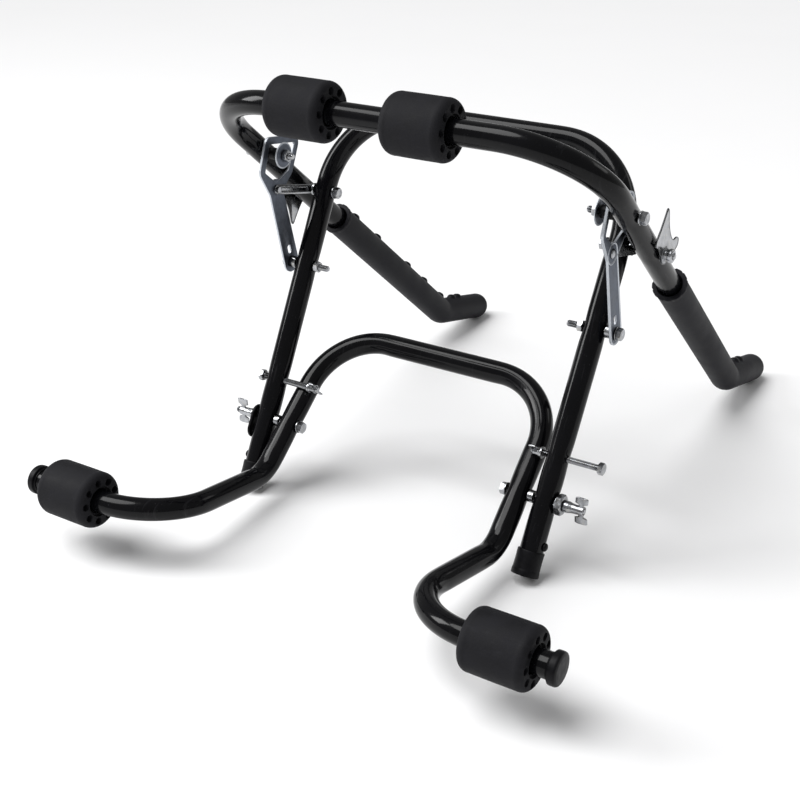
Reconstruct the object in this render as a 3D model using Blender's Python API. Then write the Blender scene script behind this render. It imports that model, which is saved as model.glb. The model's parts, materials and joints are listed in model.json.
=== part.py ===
"""Boot-mounted bicycle carrier in steel tube: an inverted U main frame, a U of two cradle arms that
crosses it, and a foot hoop that folds about the legs. Metres, +Z up, +Y towards the cradle arms,
X across. The origin is on the ground in the middle of the carrier's outline."""
from math import asin, atan2, cos, pi, radians, sin, tan

import bmesh
import bpy
from mathutils import Matrix, Vector

# ---- clearances and facets: GAP is kept between any two touching pieces ----
GAP = 0.0003
TUBE_SIDES = 16
BOLT_SIDES = 12
ROLLER_SIDES = 24
BEND_STEP = radians(15)
TIP_STEPS = 5
STUD_SIDES = 8
SMOOTH_BELOW = radians(35)
FLAT_WITHIN = radians(1)

# ---- tube: one size for all three frames ----
TUBE_R = 0.014
TUBE_WALL = 0.0015
DRILL_DEPTH = TUBE_R * 3

# ---- main frame: distances along the leg are measured from the foot pivot ----
LEG_LEAN = radians(30.3)
LEG_BELOW = 0.0863
LEG_ABOVE = 0.4175
LEG_HALF_BOTTOM = 0.2000
LEG_HALF_TOP = 0.2083
MAIN_BEND_R = 0.1014

# ---- cradle arms: distances along the arm are measured from where they cross the legs ----
CROSSING_UP = 0.3035
ARM_SLOPE = radians(41.1)
ARM_FORE = 0.2455
ARM_AFT = 0.4511
ARM_HALF_CROSS = 2 * TUBE_R + 0.2209
ARM_HALF_ELBOW = 2 * TUBE_R + 0.2094
ARM_BEND_R = 0.104
ELBOW_R = 0.030
TIP_LENGTH = 0.119

# ---- grips on the arms: studs are placed from the crossing, and on the tip from the elbow ----
SLEEVE_R = 0.020
SLEEVE_START = 0.0975
COLLAR_R = 0.0215
COLLAR_LENGTH = 0.005
COLLAR_TAPER = 0.0015
STUD_R = 0.007
STUD_RISE = 0.0045
STUD_SIDE = 0.5
STUD_TOP = 0.6
STUD_STATIONS = (0.138, 0.207, 0.309, 0.370, 0.433)
TIP_STUD_STATIONS = (0.032, 0.050)

# ---- foot hoop: distances along its sides are measured from the pivot ----
FOOT_LEAN = radians(50.9)
HOOP_UP = 0.1403
HOOP_HALF = 0.1635
HOOP_BEND_R = 0.0825
KNUCKLE_DOWN = 0.0747
KNUCKLE_HALF = 0.1671
KNUCKLE_R = 0.049
FOOT_REACH = 0.2597
FOOT_DROP = 0.0085
HAIRPIN_HALF = 0.158
HAIRPIN_R = 0.0865
FOOT_HALF = 0.3395

# ---- rollers and end caps ----
ROLLER_R = 0.034
ROLLER_HALF = 0.037
ROLLER_EDGE = 0.007
ROLLER_SHOULDER = 0.3
LOWER_ROLLER_X = {"left": -0.284, "right": 0.288}
UPPER_ROLLER_X = {"left": -0.0950, "right": 0.0570}
LEG_CAP_R = TUBE_R + 0.0025
LEG_CAP_LENGTH = 0.030
CAP_END = 0.003
FOOT_CAP_ROUND = 0.003
STEM_TAPER = 0.9
FOOT_CAP_R = 0.018
FOOT_CAP_LENGTH = 0.0125

# ---- brackets: head and window discs are (y, z, radius) from the waist pin ----
PLATE_INNER_X = TUBE_R + 0.214
PLATE_THICK = 0.003
PIN_FROM_CROSSING = (-0.074, 0.0189)
PLATE_WAIST_R = 0.013
PLATE_FOOT_R = 0.014
PLATE_HEAD = ((-0.017, 0.027, 0.012), (-0.007, 0.057, 0.011), (0.039, 0.049, 0.011), (0.025, 0.021, 0.012))
PLATE_STRIP = 0.009
WINDOW_FOOT = (0.001, 0.012, 0.003)
SLOT_UP = 0.0185
SLOT_HALF = 0.003
BRACKET_UP = 0.205
BAR_HALF = 0.006
BAR_END_EXTRA = 0.001
BAR_THICK = 0.003

# ---- fasteners: chamfers and tips are shares of the height or radius they cut ----
BOLT_R = 0.004
HEX_FLAT = 0.013
HEX_HEIGHT = 0.0065
HEX_CHAMFER = 0.12
HEX_FACE = 0.96
BOLT_TIP = 0.25
WASHER_R = 0.008
WASHER_THICK = 0.0015
SPACER_R = 0.0075
PIN_R = 0.003
PIN_HEAD_R = 0.0055
PIN_HEAD_HEIGHT = 0.0025
PIN_TAIL = 0.0016
ARM_BOLT_FORE = 0.0983
DISC_R = 0.0165
DISC_THICK = 0.0025
DISC_DISH = ((0, 0.6), (0.4, 0.95), (0.7, 1.0))
DISC_INNER_X = 0.2125
ARM_BOLT_END = 0.199
CROSSING_END = 0.275
BRACKET_END = 0.170
PIVOT_OUTER_END = 0.2505
PIVOT_NUT_FLAT = 0.022
PIVOT_NUT_HEIGHT = 0.009
ANCHOR_HALF = 0.013
ANCHOR_RISE = 0.014
ANCHOR_DROP = 0.030
ANCHOR_THICK = 0.0035
STOP_SHANK = 2 * TUBE_R + 0.057
STOP_HEAD_REST = {"left": 0.0060, "right": 0.0370}
STOP_TIP = 0.006
LEG_PLUG_DOWN = 0.052
LEG_PLUG_R = 0.005
LEG_PLUG_RISE = 0.0035

# ---- wing nuts and levers: hub profiles are (share of length, share of radius) ----
WING_HUB_R = 0.007
WING_HUB_LENGTH = 0.008
WING_SPAN = 0.017
WING_HEIGHT = 0.011
WING_SHEET = 0.0024
WING_HUB = ((0, 1.0), (0.25, 1.0), (0.45, 0.82), (1.0, 0.74))
WING_TIP = 1.6
WING_LOW = 0.45
WING_HIGH = 0.25
WING_ROOT = 0.4
PIVOT_HUB_LENGTH = 0.022
PIVOT_WING_SPAN = 0.0175
PIVOT_WING_HEIGHT = 0.012
LEVER_HUB_R = 0.010
LEVER_HUB_LENGTH = 0.014
LEVER_HUB = ((0, 0.9), (0.12, 1.0), (0.30, 1.0), (0.36, 0.72), (0.88, 0.72), (1.0, 0.6))
LEVER_SHEET_AT = 0.002
LEVER_SHEET = 0.002
LEVER_OUTLINE = ((-0.026, 0.020, 0.004), (0.000, 0.052, 0.0035), (0.032, 0.004, 0.008), (0.0, -0.002, 0.012))

# ---- derived frame geometry, in the side plane (y, z) with the foot pivot at (0, 0) ----
LEG_DIR = Vector((sin(LEG_LEAN), cos(LEG_LEAN)))
ARM_DIR = Vector((cos(ARM_SLOPE), -sin(ARM_SLOPE)))
FOOT_DIR = Vector((sin(FOOT_LEAN), cos(FOOT_LEAN)))
CROSSING = LEG_DIR * CROSSING_UP
CAP_LOW = LEG_DIR * (LEG_BELOW + GAP + CAP_END)
GROUND = -CAP_LOW.y - LEG_CAP_R * sin(LEG_LEAN)
ELBOW = CROSSING + ARM_DIR * ARM_AFT
TIP_DROOP = asin((ELBOW.y - GROUND - SLEEVE_R) / TIP_LENGTH)
TIP_DIR = Vector((cos(TIP_DROOP), -sin(TIP_DROOP)))
TIP = ELBOW + TIP_DIR * TIP_LENGTH
FRONT = -FOOT_REACH - ROLLER_R
REAR = TIP.x + SLEEVE_R
PIVOT_Y = -(FRONT + REAR) / 2
PIVOT_Z = -GROUND
STOP_UP = (TUBE_R + BOLT_R + GAP) / sin(FOOT_LEAN - LEG_LEAN)
ARM_LENGTH = ARM_FORE + ARM_AFT
SIDES = {"left": -1, "right": 1}


def world(x, point):
    """Point in the carrier's frame from x and a (y, z) pair measured from the foot pivot."""
    return Vector((x, point[0] + PIVOT_Y, point[1] + PIVOT_Z))


def leg_x(up):
    """Half spacing of the legs at a distance up the leg from the foot pivot."""
    return LEG_HALF_BOTTOM + (LEG_HALF_TOP - LEG_HALF_BOTTOM) * (up + LEG_BELOW) / (LEG_ABOVE + LEG_BELOW)


def arm_x(aft):
    """Half spacing of the arms at a distance aft of the crossing."""
    return ARM_HALF_CROSS + (ARM_HALF_ELBOW - ARM_HALF_CROSS) * (aft + ARM_FORE) / ARM_LENGTH


def foot_x(up):
    """Half spacing of the foot hoop's sides at a distance up from the pivot."""
    return KNUCKLE_HALF + (HOOP_HALF - KNUCKLE_HALF) * (up + KNUCKLE_DOWN) / (HOOP_UP + KNUCKLE_DOWN)


def circumscribed(radius, sides):
    """Corner radius of a polygon whose flats stand at the given radius."""
    return radius / cos(pi / sides)


# ---- materials ----
def material(name, colour, roughness, metallic):
    made = bpy.data.materials.new(name)
    made.use_nodes = True
    shader = made.node_tree.nodes["Principled BSDF"]
    shader.inputs["Base Color"].default_value = (*colour, 1)
    shader.inputs["Roughness"].default_value = roughness
    shader.inputs["Metallic"].default_value = metallic
    return made


# ---- mesh builders ----
def add_object(name, bm, place, finish):
    """Turn a bmesh into a named object with its own material at the given world matrix."""
    bmesh.ops.recalc_face_normals(bm, faces=bm.faces)
    mesh = bpy.data.meshes.new(name)
    bm.to_mesh(mesh)
    bm.free()
    mesh.shade_smooth()
    mesh.set_sharp_from_angle(angle=SMOOTH_BELOW)
    made = bpy.data.objects.new(name, mesh)
    bpy.context.scene.collection.objects.link(made)
    made.matrix_world = place
    if finish:
        mesh.materials.append(material(name, *finish))
    return made


def boolean(target, other, operation):
    """Join or cut the target with another object, which is hidden as a guide."""
    other.hide_render = True
    other.display_type = "WIRE"
    change = target.modifiers.new(other.name, "BOOLEAN")
    change.operation = operation
    change.object = other


def bend_path(corners, radii):
    """Points along straight runs joined by arcs: one radius for each inner corner."""
    points = [corners[0]]
    for before, corner, after, radius in zip(corners, corners[1:], corners[2:], radii):
        back = (before - corner).normalized()
        on = (after - corner).normalized()
        turn = pi - back.angle(on)
        start = corner + back * radius * tan(turn / 2)
        centre = corner + (back + on).normalized() * radius / cos(turn / 2)
        spoke = start - centre
        axis = spoke.cross(-back)
        steps = max(2, round(turn / BEND_STEP))
        for step in range(steps + 1):
            points.append(centre + Matrix.Rotation(turn * step / steps, 3, axis) @ spoke)
    points.append(corners[-1])
    return points


def tube_rings(bm, points, radii, sides):
    """Rings of vertices square to a path, carried along it without twisting."""
    tangents = [(b - a).normalized() for a, b in zip(points, points[1:])]
    tangents = [tangents[0]] + [(a + b).normalized() for a, b in zip(tangents, tangents[1:])] + [tangents[-1]]
    across = tangents[0].orthogonal().normalized()
    rings = []
    for point, tangent, radius in zip(points, tangents, radii):
        across = (across - tangent * across.dot(tangent)).normalized()
        up = tangent.cross(across)
        angles = [2 * pi * k / sides for k in range(sides)]
        rings.append([bm.verts.new(point + radius * (across * cos(a) + up * sin(a))) for a in angles])
    return rings


def skin(bm, rings):
    """Faces between neighbouring rings."""
    for lower, upper in zip(rings, rings[1:]):
        for k in range(len(lower)):
            following = (k + 1) % len(lower)
            bm.faces.new((lower[k], lower[following], upper[following], upper[k]))


def hollow_tube(name, points, finish):
    """An open-ended tube along a path."""
    bm = bmesh.new()
    outer = tube_rings(bm, points, [TUBE_R] * len(points), TUBE_SIDES)
    inner = tube_rings(bm, points, [TUBE_R - TUBE_WALL] * len(points), TUBE_SIDES)
    skin(bm, outer + inner[::-1] + outer[:1])
    return add_object(name, bm, Matrix.Translation(world(0, (0, 0))), finish)


def solid_sweep(name, points, radii, sides, finish):
    """A closed solid along a path with its own radius at each point."""
    bm = bmesh.new()
    rings = tube_rings(bm, points, radii, sides)
    skin(bm, rings)
    bm.faces.new(rings[0])
    bm.faces.new(rings[-1])
    return add_object(name, bm, Matrix.Translation(world(0, (0, 0))), finish)


def turned_mesh(profile, sides, ring=False):
    """Turn (x, radius) pairs about X. A radius given as a pair of corner and flat radii makes a hexagon."""
    bm = bmesh.new()
    rings = []
    for along, radius in profile:
        corner, flat = radius if isinstance(radius, tuple) else (radius, radius)
        row = []
        for k in range(sides):
            reach = corner if k % 2 == 0 else flat
            row.append(bm.verts.new((along, reach * cos(2 * pi * k / sides), reach * sin(2 * pi * k / sides))))
        rings.append(row)
    if ring:
        rings.append(rings[0])
    skin(bm, rings)
    if not ring:
        bm.faces.new(rings[0])
        bm.faces.new(rings[-1])
    return bm


def hexagon(flat):
    """Corner and flat radii of a hexagon from its width across flats."""
    return (flat / 2 / cos(pi / 6), flat / 2)


def turned(name, profile, place, finish, sides=BOLT_SIDES, ring=False):
    """A turned piece as an object."""
    return add_object(name, turned_mesh(profile, sides, ring), place, finish)


def placed(side, x, point, spin=0.0, outward=True):
    """World matrix of hardware built along +X: at x on one side, pointing outward or inward."""
    sign = SIDES[side] * (1 if outward else -1)
    facing = Matrix.Identity(4) if sign > 0 else Matrix.Rotation(pi, 4, "Z")
    return Matrix.Translation(world(SIDES[side] * x, point)) @ Matrix.Rotation(spin, 4, "X") @ facing


def bored(length, outer, bore, chamfer=0.0):
    """Closed profile of a washer, nut or spacer: outer radius over a round bore."""
    inner = circumscribed(bore + GAP, BOLT_SIDES)
    if not chamfer:
        return [(0, inner), (0, outer), (length, outer), (length, inner)]
    corner, flat = outer
    face = (flat, flat)
    return [(0, inner), (0, face), (chamfer, outer), (length - chamfer, outer), (length, face), (length, inner)]


def nut(name, place, finish, flat=HEX_FLAT, height=HEX_HEIGHT, bore=BOLT_R):
    return turned(name, bored(height, hexagon(flat), bore, height * HEX_CHAMFER), place, finish, ring=True)


def washer(name, place, finish, radius=WASHER_R, thick=WASHER_THICK, bore=BOLT_R):
    return turned(name, bored(thick, radius, bore), place, finish, ring=True)


def bolt(name, length, place, finish, head=HEX_HEIGHT, collar=0.0):
    """Hex head at x < 0 with an optional collar under it, shank of the given length along +X."""
    corner, flat = hexagon(HEX_FLAT)
    back = -head - collar
    profile = [(back, flat * HEX_FACE), (back + head * HEX_CHAMFER, (corner, flat)), (-collar, (corner, flat))]
    if collar:
        profile += [(-collar, WASHER_R), (0, WASHER_R)]
    else:
        profile[-1] = (0, (corner, flat))
    tip = BOLT_R * BOLT_TIP
    profile += [(0, BOLT_R), (length - tip, BOLT_R), (length, BOLT_R - tip)]
    return turned(name, profile, place, finish)


def disc_hull(discs, thick):
    """Plate along +X whose outline is the hull of (y, z, radius) discs."""
    bm = bmesh.new()
    for y, z, radius in discs:
        for k in range(BOLT_SIDES):
            angle = 2 * pi * k / BOLT_SIDES
            for x in (0, thick):
                bm.verts.new((x, y + radius * cos(angle), z + radius * sin(angle)))
    bmesh.ops.convex_hull(bm, input=bm.verts)
    bmesh.ops.delete(bm, geom=[vert for vert in bm.verts if not vert.link_faces], context="VERTS")
    bmesh.ops.dissolve_limit(bm, angle_limit=FLAT_WITHIN, verts=bm.verts, edges=bm.edges)
    return bm


def cutter(name, discs, depth, x=0.0, y=0.0, z=0.0):
    """Guide prism along X, centred on x, for holes of any disc outline."""
    place = Matrix.Translation(Vector((x - depth / 2, y, z)))
    return add_object(name, disc_hull(discs, depth), place, None)


def drill(target, name, x, point, radius, depth=DRILL_DEPTH):
    """Round hole along X through the target."""
    place = world(x, point)
    disc = [(0, 0, circumscribed(radius + GAP, BOLT_SIDES))]
    boolean(target, cutter(name, disc, depth, *place), "DIFFERENCE")


# ---- finishes: colour, roughness, metallic ----
ENAMEL = ((0.012, 0.012, 0.014), 0.18, 0.0)
GRIP = ((0.045, 0.045, 0.050), 0.62, 0.0)
FOAM = ((0.012, 0.012, 0.013), 0.80, 0.0)
RUBBER = ((0.015, 0.015, 0.016), 0.55, 0.0)
ZINC = ((0.62, 0.64, 0.67), 0.28, 1.0)
GALVANISED = ((0.42, 0.45, 0.49), 0.42, 1.0)


# ---- frames ----
def mirrored_path(half):
    """Corners from the left end to the middle run, then the same corners on the right."""
    return [Vector((-x, y, z)) for x, y, z in half] + [Vector((x, y, z)) for x, y, z in reversed(half)]


def side_point(x, point):
    return (x, point[0], point[1])


def main_path():
    half = [side_point(LEG_HALF_BOTTOM, -LEG_DIR * LEG_BELOW), side_point(LEG_HALF_TOP, LEG_DIR * LEG_ABOVE)]
    return bend_path(mirrored_path(half), [MAIN_BEND_R] * 2)


def arm_path():
    half = [
        side_point(ARM_HALF_ELBOW, TIP),
        side_point(ARM_HALF_ELBOW, ELBOW),
        side_point(ARM_HALF_CROSS, CROSSING - ARM_DIR * ARM_FORE),
    ]
    return bend_path(mirrored_path(half), [ELBOW_R, ARM_BEND_R, ARM_BEND_R, ELBOW_R])


def foot_path():
    half = [
        (FOOT_HALF, -FOOT_REACH, -FOOT_DROP),
        (HAIRPIN_HALF, -FOOT_REACH, -FOOT_DROP),
        side_point(KNUCKLE_HALF, -FOOT_DIR * KNUCKLE_DOWN),
        side_point(HOOP_HALF, FOOT_DIR * HOOP_UP),
    ]
    radii = [HAIRPIN_R, KNUCKLE_R, HOOP_BEND_R]
    return bend_path(mirrored_path(half), radii + radii[::-1])


def build_frames():
    main_frame = hollow_tube("main_frame", main_path(), ENAMEL)
    arm_frame = hollow_tube("arm_frame", arm_path(), ENAMEL)
    foot_frame = hollow_tube("foot_frame", foot_path(), ENAMEL)
    stations = (("crossing", CROSSING_UP), ("bracket", BRACKET_UP), ("pivot", 0.0), ("stop", STOP_UP))
    for side, sign in SIDES.items():
        for label, up in stations:
            drill(main_frame, f"leg_{label}_hole_{side}", sign * leg_x(up), LEG_DIR * up, BOLT_R)
        plug_x = sign * (leg_x(-LEG_PLUG_DOWN) + TUBE_R)
        drill(main_frame, f"leg_plug_hole_{side}", plug_x, -LEG_DIR * LEG_PLUG_DOWN, PIN_R, TUBE_R)
        drill(arm_frame, f"arm_crossing_hole_{side}", sign * arm_x(0), CROSSING, BOLT_R)
        bolt_point = CROSSING - ARM_DIR * ARM_BOLT_FORE
        drill(arm_frame, f"arm_bolt_hole_{side}", sign * arm_x(-ARM_BOLT_FORE), bolt_point, BOLT_R)
        drill(foot_frame, f"foot_pivot_hole_{side}", sign * foot_x(0), (0, 0), BOLT_R)


# ---- grips ----
def sleeve_path(sign, start):
    """Arm centreline from a distance aft of the crossing to the middle of the rounded tip."""
    corners = [
        Vector((sign * arm_x(start), *(CROSSING + ARM_DIR * start))),
        Vector((sign * ARM_HALF_ELBOW, *ELBOW)),
        Vector((sign * ARM_HALF_ELBOW, *TIP)),
    ]
    return bend_path(corners, [ELBOW_R])


def build_sleeve(side, sign):
    points = sleeve_path(sign, SLEEVE_START)
    run = (points[1] - points[0]).normalized()
    aim = (points[-1] - points[-2]).normalized()
    collar_end = points[0] + run * COLLAR_LENGTH
    body = [points[0], collar_end, collar_end + run * COLLAR_TAPER] + points[1:]
    radii = [COLLAR_R, COLLAR_R] + [SLEEVE_R] * (len(body) - 2)
    for step in range(1, TIP_STEPS):
        angle = step / TIP_STEPS * pi / 2
        body.append(points[-1] + aim * SLEEVE_R * sin(angle))
        radii.append(SLEEVE_R * cos(angle))
    sleeve = solid_sweep(f"arm_sleeve_{side}", body, radii, TUBE_SIDES, GRIP)
    cavity = sleeve_path(sign, SLEEVE_START - COLLAR_LENGTH)
    cavity[-1] = cavity[-1] + aim * GAP
    bore = circumscribed(TUBE_R + GAP, TUBE_SIDES)
    inside = solid_sweep(f"arm_sleeve_bore_{side}", cavity, [bore] * len(cavity), TUBE_SIDES, None)
    for number, aft in enumerate(STUD_STATIONS):
        place = CROSSING + ARM_DIR * aft
        lift = Vector((sin(ARM_SLOPE), cos(ARM_SLOPE)))
        add_stud(sleeve, f"stud_{side}_{number}", sign * arm_x(aft), place, lift)
    for number, along in enumerate(TIP_STUD_STATIONS):
        lift = Vector((sin(TIP_DROOP), cos(TIP_DROOP)))
        place = ELBOW + TIP_DIR * along
        add_stud(sleeve, f"tip_stud_{side}_{number}", sign * ARM_HALF_ELBOW, place, lift)
    boolean(sleeve, inside, "DIFFERENCE")


def add_stud(sleeve, name, x, point, lift):
    """Round-topped knob standing on the grip along the given lift direction."""
    root = (TUBE_R + SLEEVE_R) / 2
    side = SLEEVE_R + STUD_RISE * STUD_SIDE
    profile = [(root, STUD_R), (side, STUD_R), (SLEEVE_R + STUD_RISE, STUD_R * STUD_TOP)]
    aim = Matrix.Rotation(-pi / 2, 4, "Y")
    tilt = Matrix.Rotation(-atan2(lift[0], lift[1]), 4, "X")
    place = Matrix.Translation(world(x, point)) @ tilt @ aim
    boolean(sleeve, turned(name, profile, place, None, sides=STUD_SIDES), "UNION")


# ---- rollers and caps ----
def build_roller(name, place):
    """Round roller with rounded shoulders, bored for the tube."""
    bore = circumscribed(TUBE_R + GAP, ROLLER_SIDES)
    face = ROLLER_R - ROLLER_EDGE
    inset = ROLLER_EDGE * ROLLER_SHOULDER
    shoulder = ROLLER_R - inset
    end, mid = ROLLER_HALF, ROLLER_HALF - ROLLER_EDGE
    profile = [(-end, bore), (-end, face), (-end + inset, shoulder), (-mid, ROLLER_R), (mid, ROLLER_R)]
    profile += [(end - inset, shoulder), (end, face), (end, bore)]
    turned(name, profile, place, FOAM, sides=ROLLER_SIDES, ring=True)


def build_rollers():
    cross = CROSSING - ARM_DIR * ARM_FORE
    for side, sign in SIDES.items():
        build_roller(f"roller_upper_{side}", Matrix.Translation(world(UPPER_ROLLER_X[side], cross)))
        foot = (-FOOT_REACH, -FOOT_DROP)
        build_roller(f"roller_lower_{side}", Matrix.Translation(world(LOWER_ROLLER_X[side], foot)))


def build_caps(side, sign):
    """Cup over the leg's lower end and a headed plug over the foot's outer end."""
    bore = circumscribed(TUBE_R + GAP, TUBE_SIDES)
    cup = [(0, LEG_CAP_R), (LEG_CAP_LENGTH, LEG_CAP_R), (LEG_CAP_LENGTH, bore), (CAP_END, bore)]
    run = Vector((leg_x(LEG_ABOVE) - leg_x(-LEG_BELOW), *(LEG_DIR * (LEG_ABOVE + LEG_BELOW)))).normalized()
    run.x *= sign
    low = world(sign * LEG_HALF_BOTTOM, -LEG_DIR * LEG_BELOW) - run * (GAP + CAP_END)
    aim = run.to_track_quat("X", "Z").to_matrix().to_4x4()
    turned(f"leg_cap_{side}", cup, Matrix.Translation(low) @ aim, RUBBER, sides=TUBE_SIDES)
    stem = TUBE_R - TUBE_WALL - GAP * 2
    start = -FOOT_CAP_LENGTH
    head = [(start, stem * STEM_TAPER), (start * STEM_TAPER, stem), (GAP, stem), (GAP, FOOT_CAP_R)]
    head += [(FOOT_CAP_LENGTH - FOOT_CAP_ROUND, FOOT_CAP_R), (FOOT_CAP_LENGTH, FOOT_CAP_R - FOOT_CAP_ROUND)]
    place = placed(side, FOOT_HALF, (-FOOT_REACH, -FOOT_DROP))
    turned(f"foot_cap_{side}", head, place, RUBBER, sides=TUBE_SIDES)


# ---- brackets ----
def build_bracket(side, sign):
    pin = CROSSING + Vector(PIN_FROM_CROSSING)
    foot = LEG_DIR * BRACKET_UP
    inner = PLATE_INNER_X if sign > 0 else -PLATE_INNER_X - PLATE_THICK
    waist = (0, 0, PLATE_WAIST_R)
    down = foot - pin
    base = Matrix.Translation(world(inner, pin))
    plate = add_object(f"side_plate_{side}", disc_hull([waist, *PLATE_HEAD], PLATE_THICK), base, GALVANISED)
    strip_shape = disc_hull([waist, (*down, PLATE_FOOT_R)], PLATE_THICK)
    strip = add_object(f"plate_strip_{side}", strip_shape, base, None)
    boolean(plate, strip, "UNION")
    centre = world(inner + PLATE_THICK / 2, pin)
    window = [WINDOW_FOOT] + [(y, z, radius - PLATE_STRIP) for y, z, radius in PLATE_HEAD]
    boolean(plate, cutter(f"plate_window_{side}", window, PLATE_THICK * 3, *centre), "DIFFERENCE")
    up = -down.normalized()
    slot = [(*(down + up * (SLOT_UP + shift)), SLOT_HALF) for shift in (-SLOT_HALF, SLOT_HALF)]
    boolean(plate, cutter(f"plate_slot_{side}", slot, PLATE_THICK * 3, *centre), "DIFFERENCE")
    drill(plate, f"plate_pin_hole_{side}", centre.x, pin, PIN_R, PLATE_THICK * 3)
    drill(plate, f"plate_bolt_hole_{side}", centre.x, foot, BOLT_R, PLATE_THICK * 3)

    bar_inner = PLATE_INNER_X - GAP - BAR_THICK
    bar_x = bar_inner if sign > 0 else -bar_inner - BAR_THICK
    reach = CROSSING - pin
    shape = disc_hull([(0, 0, BAR_HALF), (*reach, BAR_HALF + BAR_END_EXTRA)], BAR_THICK)
    bar = add_object(f"strap_bar_{side}", shape, Matrix.Translation(world(bar_x, pin)), ZINC)
    middle = bar_x + BAR_THICK / 2
    drill(bar, f"bar_pin_hole_{side}", middle, pin, PIN_R, BAR_THICK * 3)
    drill(bar, f"bar_bolt_hole_{side}", middle, CROSSING, BOLT_R, BAR_THICK * 3)

    outer = PLATE_INNER_X + PLATE_THICK + GAP
    tail = outer - bar_inner + PIN_TAIL
    dome = (PIN_R + PIN_HEAD_R) / 2
    rivet = [(-PIN_HEAD_HEIGHT, dome), (-PIN_HEAD_HEIGHT / 2, PIN_HEAD_R), (0, PIN_HEAD_R)]
    rivet += [(0, PIN_R), (tail, PIN_R)]
    turned(f"plate_pin_{side}", rivet, placed(side, outer, pin, outward=False), ZINC)


# ---- fasteners ----
def build_crossing(side, sign):
    """Bolt through leg, bar and arm, with the clamp lever on its outer end."""
    inner = leg_x(CROSSING_UP) - TUBE_R - GAP
    start = placed(side, inner, CROSSING)
    bolt(f"crossing_bolt_{side}", CROSSING_END - inner, start, ZINC, collar=WASHER_THICK)
    leg_face = leg_x(CROSSING_UP) + TUBE_R + GAP
    bar_inner = PLATE_INNER_X - 2 * GAP - BAR_THICK
    washer(f"crossing_spacer_{side}", placed(side, leg_face, CROSSING), ZINC, thick=bar_inner - leg_face)
    start = arm_x(0) + TUBE_R + GAP
    profile = [(x * LEVER_HUB_LENGTH, r * LEVER_HUB_R) for x, r in LEVER_HUB]
    spin = 0.0 if sign > 0 else pi
    place = placed(side, start, CROSSING, spin)
    lever = turned(f"clamp_lever_{side}", profile, place, ZINC)
    sheet_at = place @ Matrix.Translation(Vector((LEVER_SHEET_AT, 0, 0)))
    outline = LEVER_OUTLINE if sign > 0 else [(-y, z, radius) for y, z, radius in LEVER_OUTLINE]
    sheet = add_object(f"lever_sheet_{side}", disc_hull(outline, LEVER_SHEET), sheet_at, None)
    boolean(lever, sheet, "UNION")
    drill(lever, f"lever_bore_{side}", sign * start, CROSSING, BOLT_R, LEVER_HUB_LENGTH * 3)


def build_arm_bolt(side, sign):
    """Bolt through the arm and the plate's window, with a spacer and a broad disc inside."""
    point = CROSSING - ARM_DIR * ARM_BOLT_FORE
    outer = arm_x(-ARM_BOLT_FORE) + TUBE_R + GAP
    place = placed(side, outer, point, outward=False)
    bolt(f"arm_bolt_{side}", outer - ARM_BOLT_END, place, ZINC, collar=WASHER_THICK)
    arm_face = arm_x(-ARM_BOLT_FORE) - TUBE_R - GAP
    disc_outer = DISC_INNER_X + DISC_THICK
    spacer_length = arm_face - disc_outer - GAP
    spacer_at = placed(side, disc_outer + GAP, point)
    washer(f"arm_spacer_{side}", spacer_at, RUBBER, radius=SPACER_R, thick=spacer_length)
    inner = circumscribed(BOLT_R + GAP, BOLT_SIDES)
    dish = [(0, inner)] + [(x * DISC_THICK, r * DISC_R) for x, r in DISC_DISH]
    dish += [(DISC_THICK, DISC_R), (DISC_THICK, inner)]
    turned(f"arm_disc_{side}", dish, placed(side, DISC_INNER_X, point), GALVANISED, ring=True)
    nut(f"arm_nut_{side}", placed(side, DISC_INNER_X - GAP - HEX_HEIGHT, point), ZINC)


def build_bracket_bolt(side, sign):
    """Bolt that holds the plate's lower end off the leg."""
    point = LEG_DIR * BRACKET_UP
    outer = PLATE_INNER_X + PLATE_THICK + GAP
    place = placed(side, outer, point, outward=False)
    bolt(f"bracket_bolt_{side}", outer - BRACKET_END, place, ZINC, collar=WASHER_THICK)
    leg_outer = leg_x(BRACKET_UP) + TUBE_R + GAP
    length = PLATE_INNER_X - GAP - leg_outer
    washer(f"bracket_spacer_{side}", placed(side, leg_outer, point), ZINC, radius=SPACER_R, thick=length)
    leg_inner = leg_x(BRACKET_UP) - TUBE_R - GAP
    nut(f"bracket_nut_{side}", placed(side, leg_inner - HEX_HEIGHT, point), ZINC)


def wing_nut(name, place, finish, hub_length, span, height, bore_cutter):
    """Hub with two upright sheet wings that stand out past its end."""
    body = turned(name, [(x * hub_length, r * WING_HUB_R) for x, r in WING_HUB], place, finish)
    tip = WING_SHEET * WING_TIP
    low, high = hub_length - height * WING_LOW, hub_length + height * WING_HIGH
    ends = ((span - tip, high), (span * WING_ROOT, low))
    discs = [(sign * across, along, tip) for across, along in ends for sign in (-1, 1)]
    turn = Matrix.Rotation(pi / 2, 4, "Y")
    flat = place @ turn @ Matrix.Translation(Vector((-WING_SHEET / 2, 0, 0)))
    wings = add_object(f"{name}_wings", disc_hull(discs, WING_SHEET), flat, None)
    boolean(body, wings, "UNION")
    bore = turned(f"{name}_bore", bore_cutter, place, None)
    boolean(body, bore, "DIFFERENCE")


def bore_profile(start, end):
    radius = circumscribed(BOLT_R + GAP, BOLT_SIDES)
    return [(start, radius), (end, radius)]


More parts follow.
